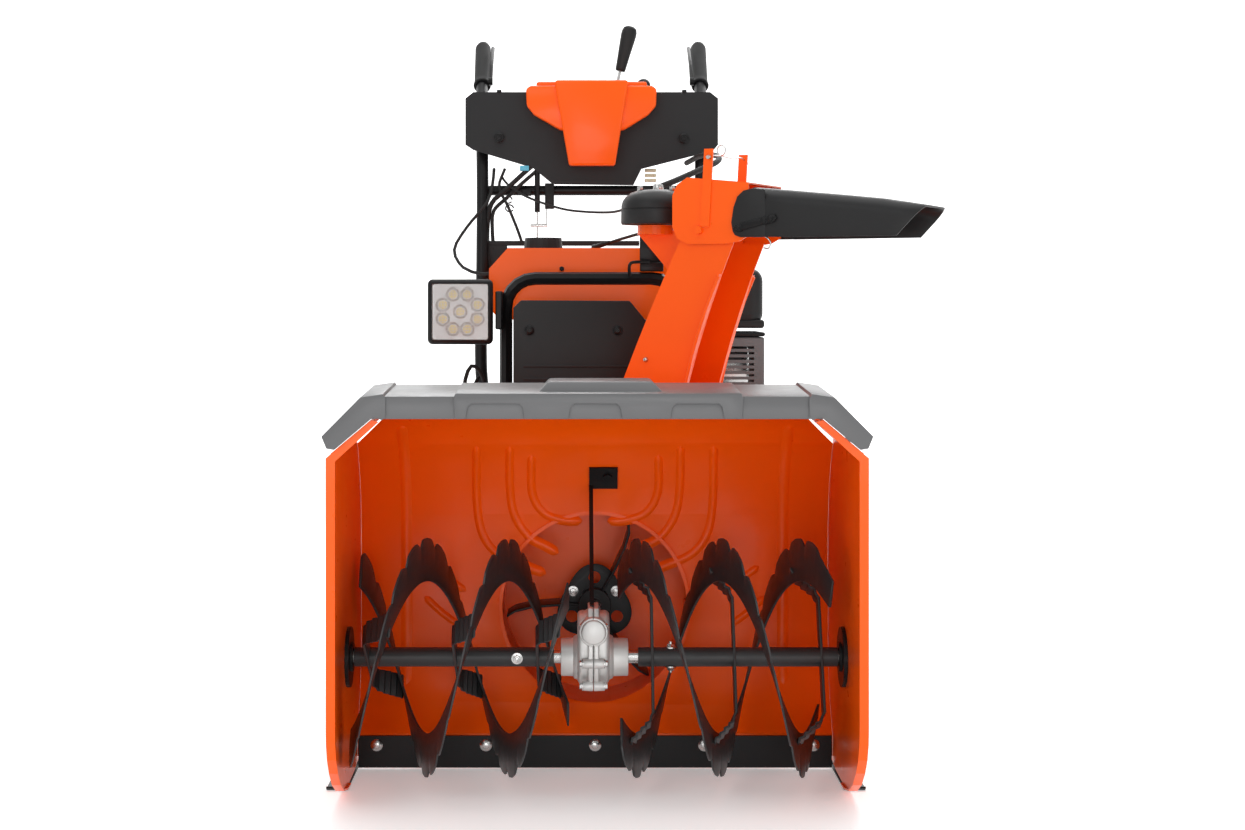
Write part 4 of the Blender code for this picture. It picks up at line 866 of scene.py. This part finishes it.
def build_levers():
    low, high = Vector((0.0440, 0.800, 1.130)), Vector((0.0765, 0.800, 1.2675))
    along = (high - low).normalized()
    facing = facing_along(low, along)
    grip = [(0.0, 0.052), (0.0085, 0.052), (0.0096, 0.0535), (0.0100, 0.057), (0.0112, 0.075),
            (0.0138, 0.108),
            (0.0150, 0.124), (0.0146, 0.131), (0.0125, 0.1375), (0.0080, 0.1410), (0.0, 0.1415)]
    show(turned(grip, facing, 56), "speed_lever_grip", PLASTIC, "speed_control", "speed_lever")
    shank = block((-0.0050, -0.0030, 0.0), (0.0050, 0.0030, 0.054), 0.0008)
    slot = block((-0.0018, -0.01, 0.026), (0.0018, 0.01, 0.046))
    shank = solid(shank, cut=[slot])
    shank.data.transform(facing)
    show(shank, "speed_lever_shank", STEEL, "speed_control", "speed_lever")
    for name, body, x, top, radius, flat in (("chute_lever", "chute_control", -0.096, 1.1572, 0.0150, 0.80),
                                             ("deflector_lever", "deflector_control", 0.1015, 1.1660, 0.0135,
                                                     1.0)):
        place = Matrix.Translation((x, 0.800, top - radius * flat))
        ball = [(radius * math.cos(a),
                radius * flat * math.sin(a)) for a in (math.radians(90 - 10 * k) for k in range(13))]
        knob = turned([*ball, (0.0058, -radius * flat * 0.95), (0.0058, -radius * 0.97),
                (0.0, -radius * 0.97)], place, 48)
        stem = rod((x, 0.800, 1.1305), (x, 0.800, top - radius), 0.0050, sides=24)
        show(merged([knob, stem]), name + "_knob", PLASTIC, body, name)


HANDLE_PATH = [(0.1740, 0.600, 0.240), (0.1740, 0.612, 0.400), (0.190, 0.625, 0.500), (0.207, 0.640, 0.600),
               (0.207, 0.675, 0.800), (0.2075, 0.705, 0.920), (0.209, 0.728, 1.000), (0.212, 0.770, 1.075),
               (0.2155, 0.860, 1.150), (0.2193, 0.995, 1.2465)]


def build_handlebar():
    tubes = [tube([(side * x, y, z) for x, y, z in HANDLE_PATH], 0.0115, 0.02, 8) for side in (1, -1)]
    tubes.append(rod((-0.2, 0.722, 0.944), (0.2, 0.722, 0.944), 0.0095, sides=48))
    show(merged(tubes), "handlebar_tubes", BLACK, "machine", "handlebar")


def cable(name, points, radius, finish=RUBBER):
    show(tube(points, radius, 0.010, 4), name, finish, "machine")


def build_wiring():
    cable("chute_cable", [(-0.172, 0.715, 0.972), (-0.160, 0.706, 0.955), (-0.120, 0.66, 0.928),
            (-0.060, 0.60, 0.905),
                          (-0.015, 0.54, 0.896), (0.030, 0.42, 0.890), (0.052, 0.28, 0.889), (0.062, 0.178,
                                  0.889)], 0.0022)
    cable("loom_upper", [(-0.100, 0.712, 1.000), (-0.118, 0.704, 0.986), (-0.140, 0.700, 0.966),
            (-0.168, 0.697, 0.940),
                         (-0.190, 0.694, 0.918), (-0.1975, 0.693, 0.880), (-0.1975, 0.690, 0.830), (-0.190,
                                 0.680, 0.78)],
          0.0046)
    cable("loom_lower", [(-0.086, 0.712, 0.998), (-0.108, 0.706, 0.978), (-0.132, 0.702, 0.957),
            (-0.160, 0.699, 0.930),
                         (-0.186, 0.695, 0.904), (-0.1885, 0.692, 0.870), (-0.186, 0.688, 0.83)], 0.0036)
    cable("loom_stray", [(-0.165, 0.705, 0.985), (-0.176, 0.700, 0.950), (-0.160, 0.690, 0.915),
            (-0.142, 0.680, 0.872),
                         (-0.130, 0.675, 0.838)], 0.0028)
    for index, (x, z) in enumerate(((-0.1585, 0.925), (-0.1560, 0.909))):
        ring = [(x + 0.0075 * math.cos(math.radians(a)), 0.694, z + 0.0065 * math.sin(math.radians(a)))
                for a in range(0, 331, 30)]
        cable(f"loom_clip_{index}", ring, 0.0014, PLASTIC)
    show(block((-0.1365, 0.696, 0.9800), (-0.1190, 0.706, 0.9900), 0.0015), "blue_plug", BLUE, "machine",
            slot="grey_plastic")
    plugs = [block((0.1010, 0.712, 0.9600 + k * 0.0095), (0.1230, 0.722, 0.9660 + k * 0.0095),
            0.0012) for k in range(3)]
    show(merged(plugs), "cream_plugs", CREAM, "machine", slot="grey_plastic")
    bits = [rod((-0.1035, 0.706, 0.986), (-0.1035, 0.706, 0.9020), 0.0052, sides=24, bevel=0.0008),
            block((-0.0890, 0.702, 0.9080), (-0.0715, 0.709, 0.9570), 0.0015),
            block((-0.1330, 0.7045, 0.9330), (-0.1150, 0.7125, 0.9460), 0.0015)]
    show(merged(bits), "shift_sleeve", BLACK, "machine")
    rods = [rod((-0.1035, 0.706, 0.9030), (-0.1035, 0.706, 0.7900), 0.0016, sides=16),
            block((-0.1165, 0.7025, 0.8740), (-0.0840, 0.7095, 0.8800), 0.0008),
            rod((-0.0855, 0.706, 0.8770), (-0.0855, 0.706, 0.9100), 0.0013, sides=16)]
    show(merged(rods), "shift_rod", STEEL, "machine")
    bars = [block((-0.2000, 0.6850, 0.8375), (0.0900, 0.6910, 0.8470), 0.0010),
            block((-0.2000, 0.6850, 0.7550), (-0.1600, 0.6910, 0.8400), 0.0010)]
    show(merged(bars), "rear_rail", PANEL_GREY, "machine")
    cable("tank_lead", [(0.0000, 0.640, 0.8330), (0.015, 0.630, 0.8360), (0.035, 0.600, 0.8420),
            (0.060, 0.520, 0.8480),
                        (0.085, 0.420, 0.8520), (0.095, 0.345, 0.8450)], 0.0028)
    show(rod((0.0020, 0.638, 0.8332), (0.0330, 0.604, 0.8415), 0.0050, 0.0040, bevel=0.0008),
            "tank_lead_plug", PLASTIC,
         "machine")
    cable("hose_loop", [(-0.222, 0.300, 0.560), (-0.219, 0.300, 0.600), (-0.209, 0.302, 0.622),
            (-0.196, 0.306, 0.615),
                        (-0.187, 0.312, 0.592), (-0.182, 0.318, 0.560)], 0.0034)
    cable("hose_loop_inner", [(-0.205, 0.330, 0.560), (-0.203, 0.330, 0.592), (-0.194, 0.332, 0.604),
            (-0.186, 0.334, 0.590),
                              (-0.184, 0.336, 0.560)], 0.0030)


# ---------------------------------------------------------------- engine and lamp
def build_engine():
    for node, width in (("engine_cover", 0.0065), ("fuel_cap", 0.0020), ("muffler_guard", 0.0030),
            ("guard_bar", 0.0010)):
        edges = frame["nodes"][node].modifiers["Edges"]
        edges.width = width
        edges.segments = 4
    outline = [(-0.135, 0.402), (0.135, 0.402), (0.135, 0.660), (0.086, 0.702), (0.060, 0.7335),
            (-0.122, 0.7345),
               (-0.135, 0.722)]
    inner = [(-0.132, 0.39), (0.132, 0.39), (0.132, 0.658), (0.083, 0.700), (0.058, 0.7305), (-0.121, 0.7315),
             (-0.132, 0.720)]
    shell = solid(prism(outline, "Y", 0.2255, 0.3355), cut=[prism(inner, "Y", 0.2285, 0.36)])
    show(shell, "belt_cover_shell", PLASTIC, "machine", "belt_cover", bevel=0.0028)
    heads = []
    for x in (-0.108, 0.040):
        heads.append(button_screw((x, 0.2252, 0.684), (0, -1, 0), 0.0082))
    heads.append(rod((-0.055, 0.4052, 0.790), (-0.055, 0.4020, 0.790), 0.0045, sides=6, bevel=0.0004))
    show(merged(heads), "belt_cover_screws", BLACK, "machine")
    ribs = [block((-0.118, 0.2238, 0.600), (0.118, 0.2262, 0.604), 0.0008),
            block((-0.118, 0.2238, 0.622), (0.118, 0.2262, 0.626), 0.0008)]
    show(merged(ribs), "belt_cover_ribs", PLASTIC, "machine")

    body = block((0.1405, 0.420, 0.6880), (0.302, 0.600, 0.7920), 0.024, 8)
    skirt = block((0.1410, 0.4210, 0.6850), (0.3035, 0.5990, 0.7000), 0.0050, 4)
    show(merged([body, skirt]), "air_cleaner_shell", PLASTIC, "machine", "air_cleaner_cover", smooth=45)
    ring = block((0.1420, 0.4180, 0.6705), (0.3045, 0.6015, 0.6780), 0.0035, 4)
    show(ring, "muffler_clamp", BLACK, "machine")
    muffler = rod((0.165, 0.510, 0.6170), (0.280, 0.510, 0.6170), 0.040, sides=64, bevel=0.006)
    show(muffler, "muffler_can", STEEL, "machine")


def build_lamp():
    low, high = Vector((-0.2800, 0.2382, 0.6600)), Vector((-0.1700, 0.2700, 0.7700))
    case = block(low, high, 0.009, 5)
    window = block((low.x + 0.0075, 0.22, low.z + 0.0075), (high.x - 0.0075, 0.2485, high.z - 0.0075), 0.004,
            3)
    case = solid(case, cut=[window])
    fins = [block((low.x + 0.010 + k * 0.0128, 0.2690, low.z + 0.010),
            (low.x + 0.0145 + k * 0.0128, 0.2880, high.z - 0.010),
                  0.0012) for k in range(7)]
    fins.append(block((low.x + 0.008, 0.268, low.z + 0.008), (high.x - 0.008, 0.2730, high.z - 0.008),
            0.0015))
    centre_x = (low.x + high.x) / 2
    centre_z = (low.z + high.z) / 2
    show(merged([case, *fins]), "lamp_case", BLACK, "lamp", "work_lamp")
    plate = block((low.x + 0.0070, 0.2470, low.z + 0.0070), (high.x - 0.0070, 0.2492, high.z - 0.0070))
    cups, leds = [plate], []
    spots = [(0, 0)] + [(0.0315 * math.cos(math.radians(45 * k + 22.5)),
            0.0315 * math.sin(math.radians(45 * k + 22.5)))
                        for k in range(8)]
    for dx, dz in spots:
        cup = turned([(0.0078, 0.0), (0.0098, 0.0), (0.0132, 0.0042), (0.0122, 0.0044), (0.0084, 0.0008),
                (0.0078, 0.0008)],
                     Matrix.Translation((centre_x + dx, 0.2472,
                             centre_z + dz)) @ Matrix.Rotation(math.radians(90), 4, "X"), 32)
        cups.append(cup)
        leds.append(rod((centre_x + dx, 0.2475, centre_z + dz), (centre_x + dx, 0.2452, centre_z + dz),
                0.0074, sides=32,
                        bevel=0.0006))
    grid = []
    for k in range(1, 19):
        offset = 0.0080 + k * 0.0050
        grid.append(block((low.x + offset, 0.2404, low.z + 0.0082),
                (low.x + offset + 0.0007, 0.2416, high.z - 0.0082)))
        grid.append(block((low.x + 0.0082, 0.2404, low.z + offset),
                (high.x - 0.0082, 0.2416, low.z + offset + 0.0007)))
    show(merged(cups), "lamp_reflector", MIRROR, "lamp", "work_lamp", slot="steel")
    show(merged(leds), "lamp_leds", LED, "lamp", "work_lamp", slot="grey_plastic")
    show(merged(grid), "lamp_lens_grid", MIRROR, "lamp", "work_lamp", slot="steel")
    lens = block((low.x + 0.0078, 0.2386, low.z + 0.0078), (high.x - 0.0078, 0.2402, high.z - 0.0078), 0.0005)
    show(lens, "lamp_lens", LENS, "lamp", "work_lamp", slot="lamp_lens")


def dress_rear():
    """Cooling fins and bolts on the engine, and the screwed rear panel of the chassis."""
    low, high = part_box("engine_block")
    fins, heads = [], []
    for k in range(13):
        z = low.z + 0.060 + k * 0.0155
        for near, far in ((low.x - 0.0055, low.x + 0.001), (high.x - 0.001, high.x + 0.0055)):
            fins.append(block((near, low.y + 0.020, z), (far, high.y - 0.020, z + 0.0042), 0.0014))
    base = block((low.x - 0.007, low.y + 0.008, low.z + 0.0010),
            (high.x + 0.007, high.y + 0.007, low.z + 0.016), 0.003)
    for x in (low.x - 0.0015, high.x + 0.0015):
        for y in (low.y + 0.030, (low.y + high.y) / 2, high.y - 0.030):
            heads += bolt((x, y, low.z + 0.0155), (0, 0, 1), 0.0055, 0.0050)
    show(merged([*fins, base]), "engine_fins", ENGINE_GREY, "machine", slot="cast_aluminium")
    low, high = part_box("chassis")
    panel = block((low.x + 0.020, high.y - 0.001, low.z + 0.030),
            (high.x - 0.020, high.y + 0.0022, high.z - 0.030), 0.0015)
    for x in (low.x + 0.036, high.x - 0.036):
        for z in (low.z + 0.046, (low.z + high.z) / 2, high.z - 0.046):
            heads += bolt((x, high.y + 0.0020, z), (0, 1, 0), 0.0060, 0.0048)
    show(panel, "chassis_rear_panel", BLACK, "machine")
    show(merged(heads), "rear_bolts", STEEL, "machine")


# ---------------------------------------------------------------- camera, light and floor
CAMERA_AT = (-0.03, -3.305, 0.735)
FOCAL_LENGTH_MM, SENSOR_MM = 60.95, 36
FRAME_SHIFT = (0.0374, -0.0924)
SKY_STRENGTH = 0.64
FLOOR_HALF, BACKDROP_Y, BACKDROP_TOP = 9, 6.9, 7
LIGHTS = [  # name, place, target, size, power
    ("key", (-2.0, -3.0, 2.6), (0, 0, 0.5), (2.0, 1.4), 18),
    ("fill", (2.6, -2.8, 1.4), (0, 0, 0.4), (1.6, 1.6), 12),
    ("back", (0.4, 3.2, 2.8), (0, 0.2, 0.6), (2.6, 1.4), 45),
    ("front_low", (0.0, -3.8, 0.5), (0, 0, 0.5), (2.0, 0.6), 17),
    ("top", (0.0, 0.3, 3.4), (0, 0.3, 0), (3.0, 3.0), 45),
]


def build_camera():
    data = bpy.data.cameras.new("Camera")
    data.sensor_width = SENSOR_MM
    data.lens = FOCAL_LENGTH_MM
    data.shift_x, data.shift_y = FRAME_SHIFT
    camera = bpy.data.objects.new("Camera", data)
    camera.location = CAMERA_AT
    camera.rotation_euler = (math.radians(90), 0, 0)
    bpy.context.scene.collection.objects.link(camera)
    bpy.context.scene.camera = camera


def area_light(name, at, target, size, power):
    data = bpy.data.lights.new(name, "AREA")
    data.shape = "RECTANGLE"
    data.size, data.size_y = size
    data.energy = power
    lamp = bpy.data.objects.new(name, data)
    lamp.location = at
    lamp.rotation_euler = (Vector(target) - Vector(at)).to_track_quat("-Z", "Y").to_euler()
    bpy.context.scene.collection.objects.link(lamp)


def build_studio():
    w, y = FLOOR_HALF, BACKDROP_Y
    for name, corners, finish in (
        ("floor", [(-w, -w, 0), (w, -w, 0), (w, 7, 0), (-w, 7, 0)], FLOOR),
        ("backdrop", [(-w, y, -0.1), (w, y, -0.1), (w, y, BACKDROP_TOP), (-w, y, BACKDROP_TOP)], BACKDROP),
    ):
        mesh = bpy.data.meshes.new(name)
        mesh.from_pydata(corners, [], [(0, 1, 2, 3)])
        sheet = bpy.data.objects.new(name, mesh)
        bpy.context.scene.collection.objects.link(sheet)
        sheet.data.materials.append(finish)
    world = bpy.data.worlds.new("World")
    bpy.context.scene.world = world
    world.use_nodes = True
    background = world.node_tree.nodes["Background"]
    background.inputs["Color"].default_value = (1, 1, 1, 1)
    background.inputs["Strength"].default_value = SKY_STRENGTH
    for light in LIGHTS:
        area_light(*light)
    settings = bpy.context.scene.view_settings
    settings.view_transform = "Standard"
    settings.look = "None"


build_camera()
build_studio()
dress_frame()
build_housing()
build_scraper_bolts()
build_augers()
build_gearbox()
build_impeller()
build_cover()
dress_chute()
build_extension()
build_drive_head()
build_console()
build_grips()
build_levers()
build_handlebar()
build_wiring()
build_engine()
dress_rear()
build_lamp()
